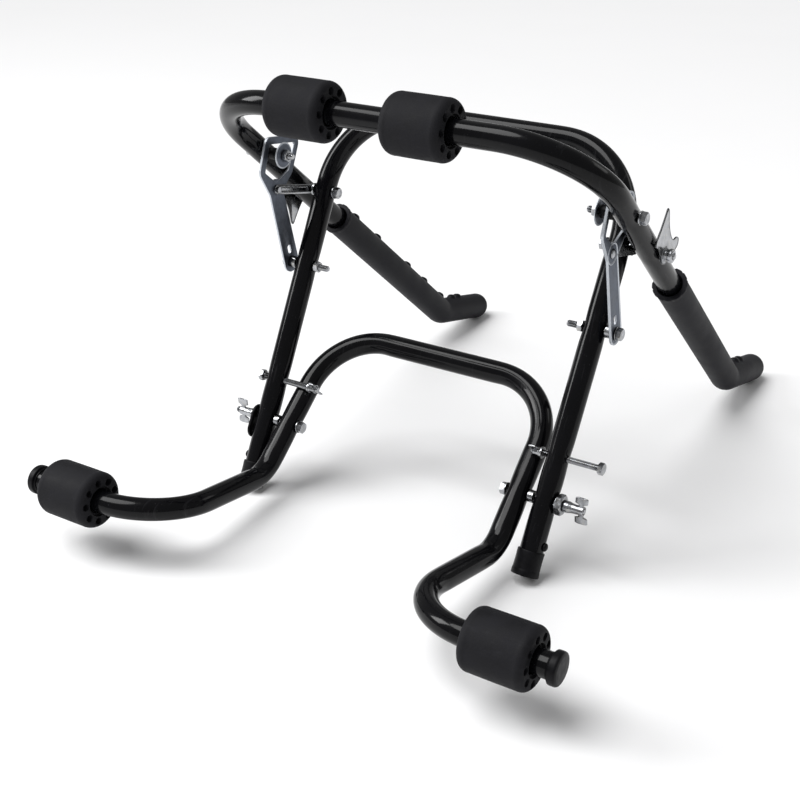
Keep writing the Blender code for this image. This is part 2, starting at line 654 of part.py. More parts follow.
def build_pivot(side, sign):
    """Bolt that the foot hoop turns on, held by a nut inside and a long wing nut outside."""
    foot_inner = foot_x(0) - TUBE_R - GAP
    head_at = placed(side, foot_inner, (0, 0))
    bolt(f"pivot_bolt_{side}", PIVOT_OUTER_END - foot_inner, head_at, ZINC, collar=WASHER_THICK)
    gap_start = foot_x(0) + TUBE_R + GAP
    gap_end = leg_x(0) - TUBE_R - GAP
    thick = gap_end - gap_start
    washer(f"pivot_spacer_{side}", placed(side, gap_start, (0, 0)), ZINC, radius=SPACER_R, thick=thick)
    outer = leg_x(0) + TUBE_R + GAP
    if side == "right":
        nut("pivot_collar_right", placed(side, outer, (0, 0)), ZINC, PIVOT_NUT_FLAT, PIVOT_NUT_HEIGHT)
        outer += PIVOT_NUT_HEIGHT + GAP
    else:
        rise, drop = LEG_DIR * (ANCHOR_RISE - ANCHOR_HALF), -LEG_DIR * (ANCHOR_DROP - ANCHOR_HALF)
        discs = [(*rise, ANCHOR_HALF), (*drop, ANCHOR_HALF)]
        at = Matrix.Translation(world(-outer - ANCHOR_THICK, (0, 0)))
        anchor = add_object("anchor_plate_left", disc_hull(discs, ANCHOR_THICK), at, RUBBER)
        drill(anchor, "anchor_hole", -outer - ANCHOR_THICK / 2, (0, 0), BOLT_R, ANCHOR_THICK * 3)
        outer += ANCHOR_THICK + GAP
    length = PIVOT_HUB_LENGTH
    cut = bore_profile(-length, length * 2)
    place = placed(side, outer, (0, 0))
    wing_nut(f"pivot_wing_nut_{side}", place, ZINC, length, PIVOT_WING_SPAN, PIVOT_WING_HEIGHT, cut)


def build_stop(side, sign):
    """Sliding bolt through the leg that the foot hoop comes up against, with its wing nut inside."""
    point = LEG_DIR * STOP_UP
    under_head = leg_x(STOP_UP) + TUBE_R + STOP_HEAD_REST[side]
    bolt(f"stop_bolt_{side}", STOP_SHANK, placed(side, under_head, point, outward=False), ZINC)
    tip = under_head - STOP_SHANK
    hub_face = tip + STOP_TIP + WING_HUB_LENGTH
    spin = pi / 2 - FOOT_LEAN
    place = placed(side, hub_face, point, spin, outward=False)
    cut = bore_profile(-WING_HUB_LENGTH, WING_HUB_LENGTH * 2)
    wing_nut(f"stop_wing_nut_{side}", place, ZINC, WING_HUB_LENGTH, WING_SPAN, WING_HEIGHT, cut)


def build_leg_plug(side, sign):
    """Black push-in plug on the leg's outer face, below the pivot."""
    face = leg_x(-LEG_PLUG_DOWN) + TUBE_R + GAP
    profile = [(-TUBE_WALL * 2, PIN_R - GAP), (0, PIN_R - GAP), (0, LEG_PLUG_R)]
    profile += [(LEG_PLUG_RISE / 2, LEG_PLUG_R), (LEG_PLUG_RISE, LEG_PLUG_R / 2)]
    turned(f"leg_plug_{side}", profile, placed(side, face, -LEG_DIR * LEG_PLUG_DOWN), RUBBER)


def main():
    for old in list(bpy.data.objects):
        bpy.data.objects.remove(old)
    build_frames()
    build_rollers()
    for side, sign in SIDES.items():
        build_sleeve(side, sign)
        build_caps(side, sign)
        build_bracket(side, sign)
        build_crossing(side, sign)
        build_arm_bolt(side, sign)
        build_bracket_bolt(side, sign)
        build_pivot(side, sign)
        build_stop(side, sign)
        build_leg_plug(side, sign)


main()
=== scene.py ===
"""Looks for the boot-mounted bicycle carrier: every visible piece is a numpy surface built around the
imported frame. Metres, +Z up, +Y towards the cradle arms, X across."""

import json
from math import asin, cos, pi, radians, sin, tan

import bpy
import numpy as np
from mathutils import Matrix, Vector
from mathutils.geometry import convex_hull_2d

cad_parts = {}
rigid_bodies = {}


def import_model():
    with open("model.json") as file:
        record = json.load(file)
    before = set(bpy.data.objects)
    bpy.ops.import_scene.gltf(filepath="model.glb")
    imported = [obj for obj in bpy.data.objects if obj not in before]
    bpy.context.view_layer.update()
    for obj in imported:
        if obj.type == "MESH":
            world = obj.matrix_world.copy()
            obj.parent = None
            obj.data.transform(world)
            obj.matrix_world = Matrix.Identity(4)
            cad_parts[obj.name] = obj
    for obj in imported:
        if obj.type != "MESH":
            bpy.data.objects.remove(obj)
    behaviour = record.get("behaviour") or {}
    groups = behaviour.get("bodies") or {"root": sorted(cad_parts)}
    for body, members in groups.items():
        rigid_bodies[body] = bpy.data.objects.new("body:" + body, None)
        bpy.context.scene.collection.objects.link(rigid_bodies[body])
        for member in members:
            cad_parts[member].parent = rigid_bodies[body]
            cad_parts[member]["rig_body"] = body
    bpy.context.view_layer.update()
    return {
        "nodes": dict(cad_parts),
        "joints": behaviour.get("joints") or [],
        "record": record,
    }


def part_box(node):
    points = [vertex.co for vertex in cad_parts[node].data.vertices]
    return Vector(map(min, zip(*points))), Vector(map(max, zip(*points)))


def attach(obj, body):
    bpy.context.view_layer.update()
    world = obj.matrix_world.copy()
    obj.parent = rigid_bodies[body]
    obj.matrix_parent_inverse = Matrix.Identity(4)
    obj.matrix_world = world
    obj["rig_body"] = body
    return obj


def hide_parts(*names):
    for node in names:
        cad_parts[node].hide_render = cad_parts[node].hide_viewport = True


bl_info = {
    "name": "Bicycle Carrier Looks",
    "version": (1, 0, 0),
    "blender": (4, 5, 0),
    "location": "3D View > Sidebar > Carrier",
    "description": "Builds the visible pieces and finishes of a boot-mounted bicycle carrier",
    "category": "Add Mesh",
}

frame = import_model()


def joint_point(name):
    """Where a joint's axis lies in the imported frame."""
    return np.array(next(joint["pos_m"] for joint in frame["joints"] if joint["name"] == name), float)


PIVOT = joint_point("foot_fold")
CROSS = joint_point("arm_swing")
SIDES = {"left": -1, "right": 1}
GAP = 0.0003

# ---- lines of the three bent tubes, as the frame has them ----
LEG_LEAN = radians(30.3)
LEG_BELOW = 0.0863
LEG_ABOVE = 0.4175
LEG_HALF_BOTTOM = 0.2000
LEG_HALF_TOP = 0.2083
MAIN_BEND = 0.1014
CROSSING_UP = 0.3035
BRACKET_UP = 0.205
ARM_SLOPE = radians(41.1)
ARM_FORE = 0.2455
ARM_AFT = 0.4511
ARM_HALF_CROSS = 0.2489
ARM_HALF_ELBOW = 0.2374
ARM_BEND = 0.104
ELBOW_BEND = 0.030
TIP_LENGTH = 0.119
FOOT_LEAN = radians(50.9)
HOOP_UP = 0.1403
HOOP_HALF = 0.1635
HOOP_BEND = 0.0825
KNUCKLE_DOWN = 0.0747
KNUCKLE_HALF = 0.1671
KNUCKLE_BEND = 0.049
FOOT_REACH = 0.2597
FOOT_DROP = 0.0085
HAIRPIN_HALF = 0.158
HAIRPIN_BEND = 0.0865
FOOT_HALF = 0.3395
ARM_BOLT_FORE = 0.0983

# ---- grips ----
SLEEVE_START = 0.0975
STUD_STATIONS = (0.138, 0.207, 0.309, 0.370, 0.433)
TIP_STUD_STATIONS = (0.032, 0.050)
NOTCHES = 12
NOTCH_SHARE = 0.045

# ---- brackets: discs are (y, z, radius) from the waist pin ----
PLATE_THICK = 0.003
PIN_FROM_CROSSING = (-0.074, 0.0189)
WAIST_R = 0.013
PLATE_FOOT_R = 0.014
HEAD_DISCS = ((-0.017, 0.027, 0.012), (-0.007, 0.057, 0.011), (0.039, 0.049, 0.011), (0.025, 0.021, 0.012))
HEAD_STRIP = 0.009
WINDOW_FOOT = (0.001, 0.012, 0.003)
SLOT_UP = 0.0185
SLOT_HALF = 0.003
BAR_HALF = 0.006

# ---- fasteners ----
BOLT_R = 0.004
THREAD_PITCH = 0.00125
THREAD_DEPTH = 0.0006
HEX_FLAT = 0.013
HEX_HEIGHT = 0.0065
WASHER_R = 0.008
WASHER_THICK = 0.0015
PIVOT_NUT_FLAT = 0.022

# ---- camera and lights ----
CAMERA_PLACE = (0.7755, -1.3576, 0.8697)
CAMERA_FORWARD = (-0.4871, 0.7513, -0.4455)
CAMERA_UP = (-0.2303, 0.3816, 0.8952)
CAMERA_LENS = 59.61
FLOOR_HALF = 9.0
SKY_STRENGTH = 0.28
KEY_STRENGTH = 2.35
KEY_ANGLE = radians(40)
KEY_FROM = (-0.35, -0.30, 1.0)
LIGHT_AIM = (0.0, 0.0, 0.25)
SOFT_LIGHTS = (
    ("left_front", (-2.2, -1.2, 1.7), (0.9, 1.4), 42),
    ("right_back", (1.6, 1.9, 1.5), (1.2, 0.6), 3),
)

# ---- directions in the frame ----
LEG_DIR = np.array((0, sin(LEG_LEAN), cos(LEG_LEAN)))
ARM_DIR = np.array((0, cos(ARM_SLOPE), -sin(ARM_SLOPE)))
FOOT_DIR = np.array((0, sin(FOOT_LEAN), cos(FOOT_LEAN)))
MAIN_NORMAL = np.array((0, cos(LEG_LEAN), -sin(LEG_LEAN)))
ARM_NORMAL = np.array((0, sin(ARM_SLOPE), cos(ARM_SLOPE)))
FOOT_NORMAL = np.array((0, cos(FOOT_LEAN), -sin(FOOT_LEAN)))
UP = np.array((0.0, 0.0, 1.0))
ACROSS = np.array((1.0, 0.0, 0.0))
SLEEVE_R = 0.020
ELBOW = CROSS + ARM_DIR * ARM_AFT
TIP_DROOP = asin((ELBOW[2] - SLEEVE_R) / TIP_LENGTH)
TIP_DIR = np.array((0, cos(TIP_DROOP), -sin(TIP_DROOP)))


# ---- settings ----
def length_setting(name, description, default):
    return bpy.props.FloatProperty(
        name=name, description=description, default=default, min=0.0, unit="LENGTH", precision=5
    )


def colour_setting(name, description, default):
    return bpy.props.FloatVectorProperty(
        name=name, description=description, default=default, size=3, min=0.0, max=1.0, subtype="COLOR"
    )


class CarrierSizes(bpy.types.PropertyGroup):
    """Sizes of the visible pieces."""

    tube_radius: length_setting("Tube radius", "Outside radius of all three bent tubes", 0.014)
    tube_wall: length_setting("Tube wall", "Wall of the bent tubes", 0.0015)
    dimple_depth: length_setting("Dimple depth", "How far a tightened bolt presses the tube in", 0.0010)
    dimple_reach: length_setting("Dimple reach", "How far along the tube a dimple fades", 0.0130)
    sleeve_radius: length_setting("Grip radius", "Outside radius of the grips", SLEEVE_R)
    collar_radius: length_setting("Grip collar radius", "Outside radius of a grip's open end", 0.0215)
    collar_length: length_setting("Grip collar length", "Length of a grip's open end", 0.0050)
    stud_radius: length_setting("Stud radius", "Radius of the studs on a grip", 0.0070)
    stud_rise: length_setting("Stud rise", "Height of the studs above a grip", 0.0045)
    roller_edge: length_setting("Roller shoulder", "Rounding of a roller's shoulders", 0.0070)
    roller_taper: length_setting("Roller taper", "How far a roller's shoulders run along it", 0.0090)
    pocket_radius: length_setting("Pocket radius", "Radius of the pockets in a roller's ends", 0.0039)
    pocket_ring: length_setting("Pocket ring", "Radius of the ring that the pockets stand on", 0.0238)
    pocket_depth: length_setting("Pocket depth", "Depth of the pockets in a roller's ends", 0.0080)
    pocket_count: bpy.props.IntProperty(
        name="Pockets", description="Pockets in each end of a roller", default=9, min=3, max=24
    )
    plate_lip: length_setting("Plate lip", "Height of the folded lip round a side plate", 0.0008)


class CarrierFinishes(bpy.types.PropertyGroup):
    """Colours of the finishes."""

    enamel: colour_setting("Enamel", "Gloss enamel on the tubes", (0.0022, 0.0022, 0.0028))
    grip: colour_setting("Grip", "Soft plastic of the grips", (0.0110, 0.0110, 0.0135))
    roller: colour_setting("Roller", "Moulded foam of the rollers", (0.0100, 0.0100, 0.0120))
    rubber: colour_setting("Rubber", "Rubber caps and plugs", (0.0035, 0.0035, 0.0042))
    zinc: colour_setting("Zinc", "Bright zinc on bolts and nuts", (0.420, 0.430, 0.450))
    plate: colour_setting("Plate", "Dull zinc on the side plates", (0.135, 0.150, 0.180))
    floor: colour_setting("Floor", "Studio floor", (0.930, 0.930, 0.935))


# ---- surfaces ----
def unit(vectors):
    """Vectors divided by their own length."""
    return vectors / np.linalg.norm(vectors, axis=-1, keepdims=True)


def world(x, flat):
    """Point from x and a (y, z) pair measured from the foot pivot."""
    return np.array((x, flat[0] + PIVOT[1], flat[1] + PIVOT[2]))


def leg_x(up):
    """Half spacing of the legs: straight between its two ends."""
    return LEG_HALF_BOTTOM + (LEG_HALF_TOP - LEG_HALF_BOTTOM) * (up + LEG_BELOW) / (LEG_ABOVE + LEG_BELOW)


def arm_x(aft):
    """Half spacing of the arms: straight between the roller tube and the elbow."""
    return ARM_HALF_CROSS + (ARM_HALF_ELBOW - ARM_HALF_CROSS) * (aft + ARM_FORE) / (ARM_FORE + ARM_AFT)


def foot_x(up):
    """Half spacing of the foot hoop's sides."""
    return KNUCKLE_HALF + (HOOP_HALF - KNUCKLE_HALF) * (up + KNUCKLE_DOWN) / (HOOP_UP + KNUCKLE_DOWN)


def smooth_step(value, low, high):
    """0 below low, 1 above high and 3t^2 - 2t^3 between."""
    t = np.clip((value - low) / (high - low), 0, 1)
    return t * t * (3 - 2 * t)


def crowded(start, stop, count, centres, reach, gain):
    """Samples from start to stop that crowd round the centres: the running total of the density
    1 + gain * sum exp(-((s - centre) / reach)^2) is cut into equal shares."""
    fine = np.linspace(start, stop, 6000)
    nearness = np.exp(-(((fine[:, None] - np.atleast_1d(centres)[None, :]) / reach) ** 2)).sum(1)
    total = np.concatenate(([0], np.cumsum(1 + gain * (nearness[1:] + nearness[:-1]) / 2)))
    return np.interp(np.linspace(0, total[-1], count), total, fine)


def bent_line(corners, bends, spacing):
    """Centre line of a bent tube: straight runs, and at each inner corner an arc
    centre + spoke cos t + ahead sin t that touches both runs."""
    pieces, start = [], corners[0]
    for before, corner, after, bend in zip(corners, corners[1:], corners[2:], bends):
        back, on = unit(before - corner), unit(after - corner)
        half = (pi - np.arccos(np.clip(back @ on, -1, 1))) / 2
        entry = corner + back * bend * tan(half)
        centre = corner + unit(back + on) * bend / cos(half)
        count = max(2, int(np.linalg.norm(entry - start) / spacing))
        pieces.append(start + (entry - start) * np.linspace(0, 1, count, endpoint=False)[:, None])
        turn = np.linspace(0, 2 * half, max(8, int(2 * half * bend / spacing)), endpoint=False)[:, None]
        pieces.append(centre + (entry - centre) * np.cos(turn) - back * bend * np.sin(turn))
        start = corner + on * bend * tan(half)
    count = max(2, int(np.linalg.norm(corners[-1] - start) / spacing))
    pieces.append(start + (corners[-1] - start) * np.linspace(0, 1, count)[:, None])
    return np.vstack(pieces)


def even_line(line, stations):
    """Points of a line at the given distances from its start."""
    run = np.concatenate(([0], np.cumsum(np.linalg.norm(np.diff(line, axis=0), axis=1))))
    return np.stack([np.interp(stations, run, line[:, axis]) for axis in range(3)], 1)


def line_length(line):
    return np.linalg.norm(np.diff(line, axis=0), axis=1).sum()


def line_frames(line, normal):
    """Tangent, side and top of a line: side = tangent x normal, top = side x tangent."""
    tangent = unit(np.gradient(line, axis=0))
    side = unit(np.cross(tangent, normal))
    return tangent, side, np.cross(side, tangent)


def swept(line, side, top, radius, angles, side_scale=1.0, top_scale=1.0):
    """Rings round a line: centre + radius (side cos a + top sin a), squeezed by the two scales."""
    wide = (radius * np.cos(angles))[..., None] * np.reshape(side_scale, (-1, 1, 1))
    tall = (radius * np.sin(angles))[..., None] * np.reshape(top_scale, (-1, 1, 1))
    return line[:, None] + side[:, None] * wide + top[:, None] * tall


def round_angles(columns):
    return np.arange(columns) * 2 * pi / columns


def stood(local, origin, axis, spin=0.0):
    """Local (along, u, v) points stood at origin with along on the axis, turned by spin about it."""
    right = unit(np.cross(UP, axis))
    over = np.cross(axis, right)
    along, u, v = local[..., 0:1], local[..., 1:2], local[..., 2:3]
    turned_u, turned_v = u * cos(spin) - v * sin(spin), u * sin(spin) + v * cos(spin)
    return np.asarray(origin) + axis * along + right * turned_u + over * turned_v


def skin(rings, closed=False):
    """Shell over a (rows, columns, 3) grid that is closed round its columns. Closed rows make a
    ring-shaped shell; otherwise each end closes on its own middle point."""
    rows, columns = rings.shape[:2]
    index = np.arange(rows * columns).reshape(rows, columns)
    low, high = (index, np.roll(index, -1, 0)) if closed else (index[:-1], index[1:])
    quads = np.stack((low, np.roll(low, -1, 1), np.roll(high, -1, 1), high), -1).reshape(-1, 4)
    points = rings.reshape(-1, 3)
    if closed:
        return points, quads, np.zeros((0, 3), int)
    first, last = index[0], index[-1]
    start, end = np.full(columns, rows * columns), np.full(columns, rows * columns + 1)
    near, far = (np.roll(first, -1), first, start), (last, np.roll(last, -1), end)
    fans = np.vstack((np.stack(near, 1), np.stack(far, 1)))
    return np.vstack((points, rings[0].mean(0), rings[-1].mean(0))), quads, fans


def outward(shell):
    """The shell with its faces turned so that the volume they enclose is positive."""
    points, quads, fans = shell
    triangles = np.vstack((quads[:, :3], quads[:, (0, 2, 3)], fans))
    a, b, c = (points[triangles[:, corner]] - points[0] for corner in range(3))
    if np.einsum("ij,ij->i", a, np.cross(b, c)).sum() < 0:
        quads, fans = quads[:, ::-1], fans[:, ::-1]
    return points, quads, fans


def bevelled(profile, cut, steps=4):
    """Profile with each inner corner replaced by a quadratic curve that leaves both runs at cut."""
    profile = np.asarray(profile, float)
    out = [profile[:1]]
    t = np.linspace(0, 1, steps + 1)[:, None]
    for before, corner, after in zip(profile, profile[1:], profile[2:]):
        reach_in, reach_out = np.linalg.norm(before - corner), np.linalg.norm(after - corner)
        entry = corner + (before - corner) / reach_in * min(cut, reach_in * 0.45)
        leave = corner + (after - corner) / reach_out * min(cut, reach_out * 0.45)
        out.append(entry * (1 - t) ** 2 + corner * 2 * t * (1 - t) + leave * t**2)
    return np.vstack([*out, profile[-1:]])


def hex_reach(angles, flat):
    """Distance to the side of a hexagon of the given width: (flat / 2) / cos of the angle off the
    nearest side."""
    return flat / 2 / np.cos((angles + pi / 6) % (pi / 3) - pi / 6)


def ring_points(along, reach, angles):
    """Local points (along, r cos a, r sin a)."""
    return np.stack((along, reach * np.cos(angles), reach * np.sin(angles)), -1)


def turned_rings(profile, columns, limit=None):
    """Local rings of a turned shape from (along, radius) rows: (along, r cos a, r sin a), where r is
    no more than the limit for that row and angle."""
    angles = round_angles(columns)
    profile = np.asarray(profile, float)
    radius = np.repeat(profile[:, 1:2], columns, 1)
    if limit is not None:
        radius = np.minimum(radius, limit)
    return ring_points(np.repeat(profile[:, 0:1], columns, 1), radius, angles)


def hex_head(start, height, flat, face_end=True):
    """Profile rows of a hexagon's turned chamfers from start to start + height."""
    corner = flat / 2 / cos(pi / 6)
    rise = np.linspace(0, 1, 5)
    chamfer = (corner - flat * 0.47) * 0.62
    rows = [np.stack((start + chamfer * rise, flat * 0.47 + (corner - flat * 0.47) * rise**0.8), 1)]
    tail = rows[0][::-1] * (-1, 1) + (2 * start + height, 0)
    rows.append(tail if face_end else np.array(((start + height, corner),)))
    return np.vstack(rows)


def threaded(start, stop, columns, radius=BOLT_R):
    """Rings of a screw thread: r = radius - depth * wave of (along / pitch - a / 2 pi), fading out
    over the last turn."""
    along = np.arange(start, stop, THREAD_PITCH / 6)
    angles = round_angles(columns)
    phase = (along[:, None] / THREAD_PITCH - angles[None] / (2 * pi)) % 1
    fade = smooth_step(stop - along, -THREAD_PITCH / 4, THREAD_PITCH * 0.8)[:, None]
    reach = radius - THREAD_DEPTH * (1 - fade * np.abs(2 * phase - 1))
    return ring_points(np.repeat(along[:, None], columns, 1), reach, angles)


# ---- pieces ----
SLOTS = {part["node"]: part["material_slot"] for part in frame["record"]["subparts"]}


def add_piece(node, shells, marks=None, sharp=radians(32)):
    """A visible piece that stands for one node of the frame and rides on that node's body. Marks, one
    array or None for each shell, are kept on the points for the finish to read."""
    points, faces, count = [], [], 0
    values = []
    for index, shell in enumerate(shells):
        own_points, quads, fans = outward(shell)
        own = np.zeros(len(own_points), np.float32)
        if marks is not None and marks[index] is not None:
            own[: marks[index].size] = marks[index].ravel()
        values.append(own)
        points.append(own_points)
        faces += (quads + count).tolist() + (fans + count).tolist()
        count += len(own_points)
    mesh = bpy.data.meshes.new(node + "_look")
    mesh.from_pydata(np.vstack(points), [], faces)
    mesh.shade_smooth()
    mesh.set_sharp_from_angle(angle=sharp)
    if marks is not None:
        mesh.attributes.new("mark", "FLOAT", "POINT").data.foreach_set("value", np.concatenate(values))
    mesh.materials.append(finishes()[SLOTS[node]])
    made = bpy.data.objects.new(node + "_look", mesh)
    bpy.context.scene.collection.objects.link(made)
    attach(made, frame["nodes"][node]["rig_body"])
    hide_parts(node)
    return made


def node_span(node):
    """Smallest x, largest x, and the middle of a node in y and z."""
    low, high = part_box(node)
    return low.x, high.x, np.array((0, (low.y + high.y) / 2, (low.z + high.z) / 2))


def on_axis(node, side, facing_out=True, centre=None):
    """Start point, direction and length of a piece along X, from its inner or outer end."""
    low, high, middle = node_span(node)
    sign = SIDES[side]
    inner, outer = (low, high) if sign > 0 else (high, low)
    start = inner if facing_out else outer
    direction = ACROSS * sign * (1 if facing_out else -1)
    middle = middle if centre is None else np.array((0, centre[1], centre[2]))
    return middle + ACROSS * start, direction, high - low


# ---- finishes ----
class Finish:
    """Nodes of one procedural material, joined to its Principled shader."""

    def __init__(self, name, colour, roughness, metallic=0.0, **constants):
        self.material = bpy.data.materials.new(name)
        self.material.use_nodes = True
        self.material.diffuse_color = (*colour, 1)
        self.tree = self.material.node_tree
        self.shader = self.tree.nodes["Principled BSDF"]
        self.colour = colour
        self.shader.inputs["Base Color"].default_value = (*colour, 1)
        self.shader.inputs["Roughness"].default_value = roughness
        self.shader.inputs["Metallic"].default_value = metallic
        for socket, value in constants.items():
            self.shader.inputs[socket.replace("_", " ")].default_value = value
        self.place = self.add("ShaderNodeTexCoord").outputs["Object"]

    def add(self, kind, inputs=None, **settings):
        node = self.tree.nodes.new(kind)
        for key, value in settings.items():
            setattr(node, key, value)
        for socket, value in (inputs or {}).items():
            if isinstance(value, bpy.types.NodeSocket):
                self.tree.links.new(value, node.inputs[socket])
            else:
                node.inputs[socket].default_value = value
        return node

    def noise(self, size, detail=3.0, stretch=(1, 1, 1), roughness=0.5):
        """Noise whose features are about the given size in metres, stretched along the axes."""
        mapped = self.add("ShaderNodeMapping", {"Vector": self.place, "Scale": stretch})
        inputs = {"Vector": mapped.outputs[0], "Scale": 1 / size, "Detail": detail, "Roughness": roughness}
        return self.add("ShaderNodeTexNoise", inputs).outputs[0]

    def cells(self, size):
        """Voronoi distance whose cells are about the given size in metres."""
        return self.add("ShaderNodeTexVoronoi", {"Vector": self.place, "Scale": 1 / size}).outputs[0]

    def between(self, value, low, high, start, stop):
        """Value carried from the range low..high to start..stop."""
        inputs = {0: value, 1: low, 2: high, 3: start, 4: stop}
        return self.add("ShaderNodeMapRange", inputs).outputs[0]

    def cloudy(self, cloud, start=0.0, stop=1.0):
        """A cloud's middle range carried to start..stop."""
        return self.between(cloud, 0.3, 0.7, start, stop)

    def plus(self, first, second, share=None):
        """Sum of two values, the second by a share where one is given."""
        second = second if share is None else self.combine("MULTIPLY", second, share)
        return self.combine("ADD", first, second)

    def tint(self, factor, first, second):
        """Colour between two by a factor; either may be a socket."""
        node = self.add("ShaderNodeMix", data_type="RGBA")
        for socket, value in ((0, factor), (6, first), (7, second)):
            if isinstance(value, bpy.types.NodeSocket):
                self.tree.links.new(value, node.inputs[socket])
            else:
                node.inputs[socket].default_value = value if socket == 0 else (*value, 1)
        return node.outputs[2]

    def combine(self, operation, first, second):
        return self.add("ShaderNodeMath", {0: first, 1: second}, operation=operation).outputs[0]

    def mark(self):
        """The value that a piece keeps on its points, 0 where it keeps none."""
        return self.add("ShaderNodeAttribute", attribute_name="mark").outputs["Fac"]

    def openness(self, reach):
        """1 in the open, falling to 0 in corners narrower than the given reach."""
        return self.add("ShaderNodeAmbientOcclusion", {"Distance": reach}, samples=8).outputs["AO"]

    def use(self, socket, value):
        self.tree.links.new(value, self.shader.inputs[socket])

    def bump(self, heights, distance, strength=1.0):
        """Bump from a height in 0..1 that stands for the given distance in metres."""
        normal = self.add("ShaderNodeBump", {"Strength": strength, "Distance": distance, "Height": heights})
        self.use("Normal", normal.outputs[0])


def shade(colour, factor):
    return tuple(min(1.0, channel * factor) for channel in colour)


def enamel_finish(colour):
    """Gloss enamel: orange peel, dust specks, faint rub marks along the tube."""
    coat = {"Coat_Weight": 0.22, "Coat_Roughness": 0.035, "Coat_IOR": 1.5}
    f = Finish("enamel", colour, 0.16, Specular_IOR_Level=0.08, **coat)
    cloud = f.noise(0.06, 4)
    specks = f.between(f.noise(0.0016, 1), 0.74, 0.80, 0, 1)
    rub = f.between(f.noise(0.004, 2, (1, 0.12, 0.12)), 0.62, 0.78, 0, 1)
    base = f.tint(f.cloudy(cloud), shade(colour, 0.8), shade(colour, 1.6))
    base = f.tint(f.combine("MULTIPLY", specks, 0.35), base, (0.09, 0.09, 0.095))
    f.use("Base Color", f.tint(f.combine("MULTIPLY", rub, 0.18), base, (0.06, 0.06, 0.065)))
    f.use("Roughness", f.plus(f.cloudy(cloud, 0.12, 0.22), rub, 0.12))
    f.bump(f.plus(f.noise(0.0045, 2), specks, 0.4), 0.00010, 0.5)
    return f.material


def grip_finish(colour):
    """Soft plastic of the grips: fine grain, cloudy tone and darker, smoother studs."""
    f = Finish("grip", colour, 0.6, Specular_IOR_Level=0.12)
    cloud = f.noise(0.03, 4)
    grain = f.noise(0.0007, 2)
    stud = f.mark()
    base = f.tint(f.cloudy(cloud), shade(colour, 0.82), shade(colour, 1.2))
    base = f.tint(f.between(grain, 0.35, 0.75, 0, 0.35), base, shade(colour, 1.7))
    f.use("Base Color", f.tint(f.combine("MULTIPLY", stud, 0.8), base, shade(colour, 0.32)))
    f.use("Roughness", f.plus(f.cloudy(cloud, 0.5, 0.62), stud, -0.15))
    f.bump(f.plus(grain, f.noise(0.006, 3), 0.7), 0.00012, 0.7)
    return f.material


def roller_finish(colour):
    """Moulded foam: closed cells, a dull skin and slight scuffing."""
    f = Finish("roller", colour, 0.72, Specular_IOR_Level=0.15)
    cloud = f.noise(0.02, 5)
    cells = f.cells(0.0011)
    scuff = f.between(f.noise(0.009, 6, (0.3, 1, 1), 0.7), 0.56, 0.72, 0, 1)
    base = f.tint(f.cloudy(cloud), shade(colour, 0.8), shade(colour, 1.35))
    f.use("Base Color", f.tint(f.combine("MULTIPLY", scuff, 0.4), base, shade(colour, 2.0)))
    f.use("Roughness", f.cloudy(cloud, 0.62, 0.80))
    f.bump(f.plus(cells, f.noise(0.0035, 3), 1.2), 0.00018, 0.7)
    return f.material


def rubber_finish(colour):
    """Satin rubber of caps, plugs and bushes."""
    f = Finish("rubber", colour, 0.45, Specular_IOR_Level=0.12)
    cloud = f.noise(0.008, 4)
    base = f.tint(f.cloudy(cloud), shade(colour, 0.8), shade(colour, 1.9))
    f.use("Base Color", f.tint(f.between(f.noise(0.0012, 2), 0.66, 0.76, 0, 0.5), base, shade(colour, 4)))
    f.use("Roughness", f.cloudy(cloud, 0.34, 0.52))
    f.bump(f.noise(0.0009, 2), 0.00008, 0.6)
    return f.material


def zinc_finish(colour):
    """Bright zinc plate: patchy warm tints, handling marks, painted shade in corners and gaps from the
    ambient occlusion, and darker marked rims.
    """
    f = Finish("zinc", colour, 0.25, 1.0)
    cloud = f.noise(0.006, 5)
    scratches = f.noise(0.0007, 3, (0.15, 1, 1))
    base = f.tint(f.between(cloud, 0.35, 0.65, 0, 1), shade(colour, 0.78), shade(colour, 1.1))
    base = f.tint(f.between(f.noise(0.004, 2), 0.5, 0.75, 0, 0.30), base, (0.50, 0.46, 0.34))
    base = f.tint(f.between(scratches, 0.62, 0.8, 0, 0.45), base, shade(colour, 0.45))
    # painted shade: the colour darkens where the ambient occlusion finds corners and gaps between parts
    base = f.tint(f.between(f.openness(0.010), 0.30, 0.95, 0.94, 0), base, shade(colour, 0.06))
    f.use("Base Color", f.tint(f.combine("MULTIPLY", f.mark(), 0.9), base, shade(colour, 0.08)))
    f.use("Roughness", f.plus(f.cloudy(cloud, 0.12, 0.28), f.between(scratches, 0.5, 0.8, 0, 0.12)))
    f.bump(f.plus(scratches, cloud), 0.00007, 0.6)
    return f.material


def plate_finish(colour):
    """Dull blue-grey zinc on pressed sheet: rolling streaks, cloudy spangle, painted shade in corners and a
    painted highlight on the lips, rims and hole edges.
    """
    f = Finish("galvanised", colour, 0.38, 1.0)
    cloud = f.noise(0.012, 5)
    streak = f.noise(0.0009, 3, (1, 1, 0.08))
    spangle = f.cells(0.0035)
    base = f.tint(f.cloudy(cloud), shade(colour, 0.72), shade(colour, 1.25))
    base = f.tint(f.between(spangle, 0.1, 0.9, 0, 0.3), base, shade(colour, 1.5))
    base = f.tint(f.between(streak, 0.6, 0.8, 0, 0.4), base, shade(colour, 0.5))
    # painted shade: darker where the ambient occlusion finds corners and gaps between parts
    base = f.tint(f.between(f.openness(0.010), 0.30, 0.85, 0.8, 0), base, shade(colour, 0.12))
    # painted highlight: the marked lips, rims and hole edges are lifted to a pale bright grey
    f.use("Base Color", f.tint(f.combine("MULTIPLY", f.mark(), 0.85), base, (0.66, 0.69, 0.73)))
    f.use("Roughness", f.plus(f.cloudy(cloud, 0.40, 0.55), f.between(streak, 0.4, 0.8, 0, 0.12)))
    f.bump(f.plus(streak, spangle, 0.5), 0.00007, 0.6)
    return f.material


MADE_FINISHES = {}


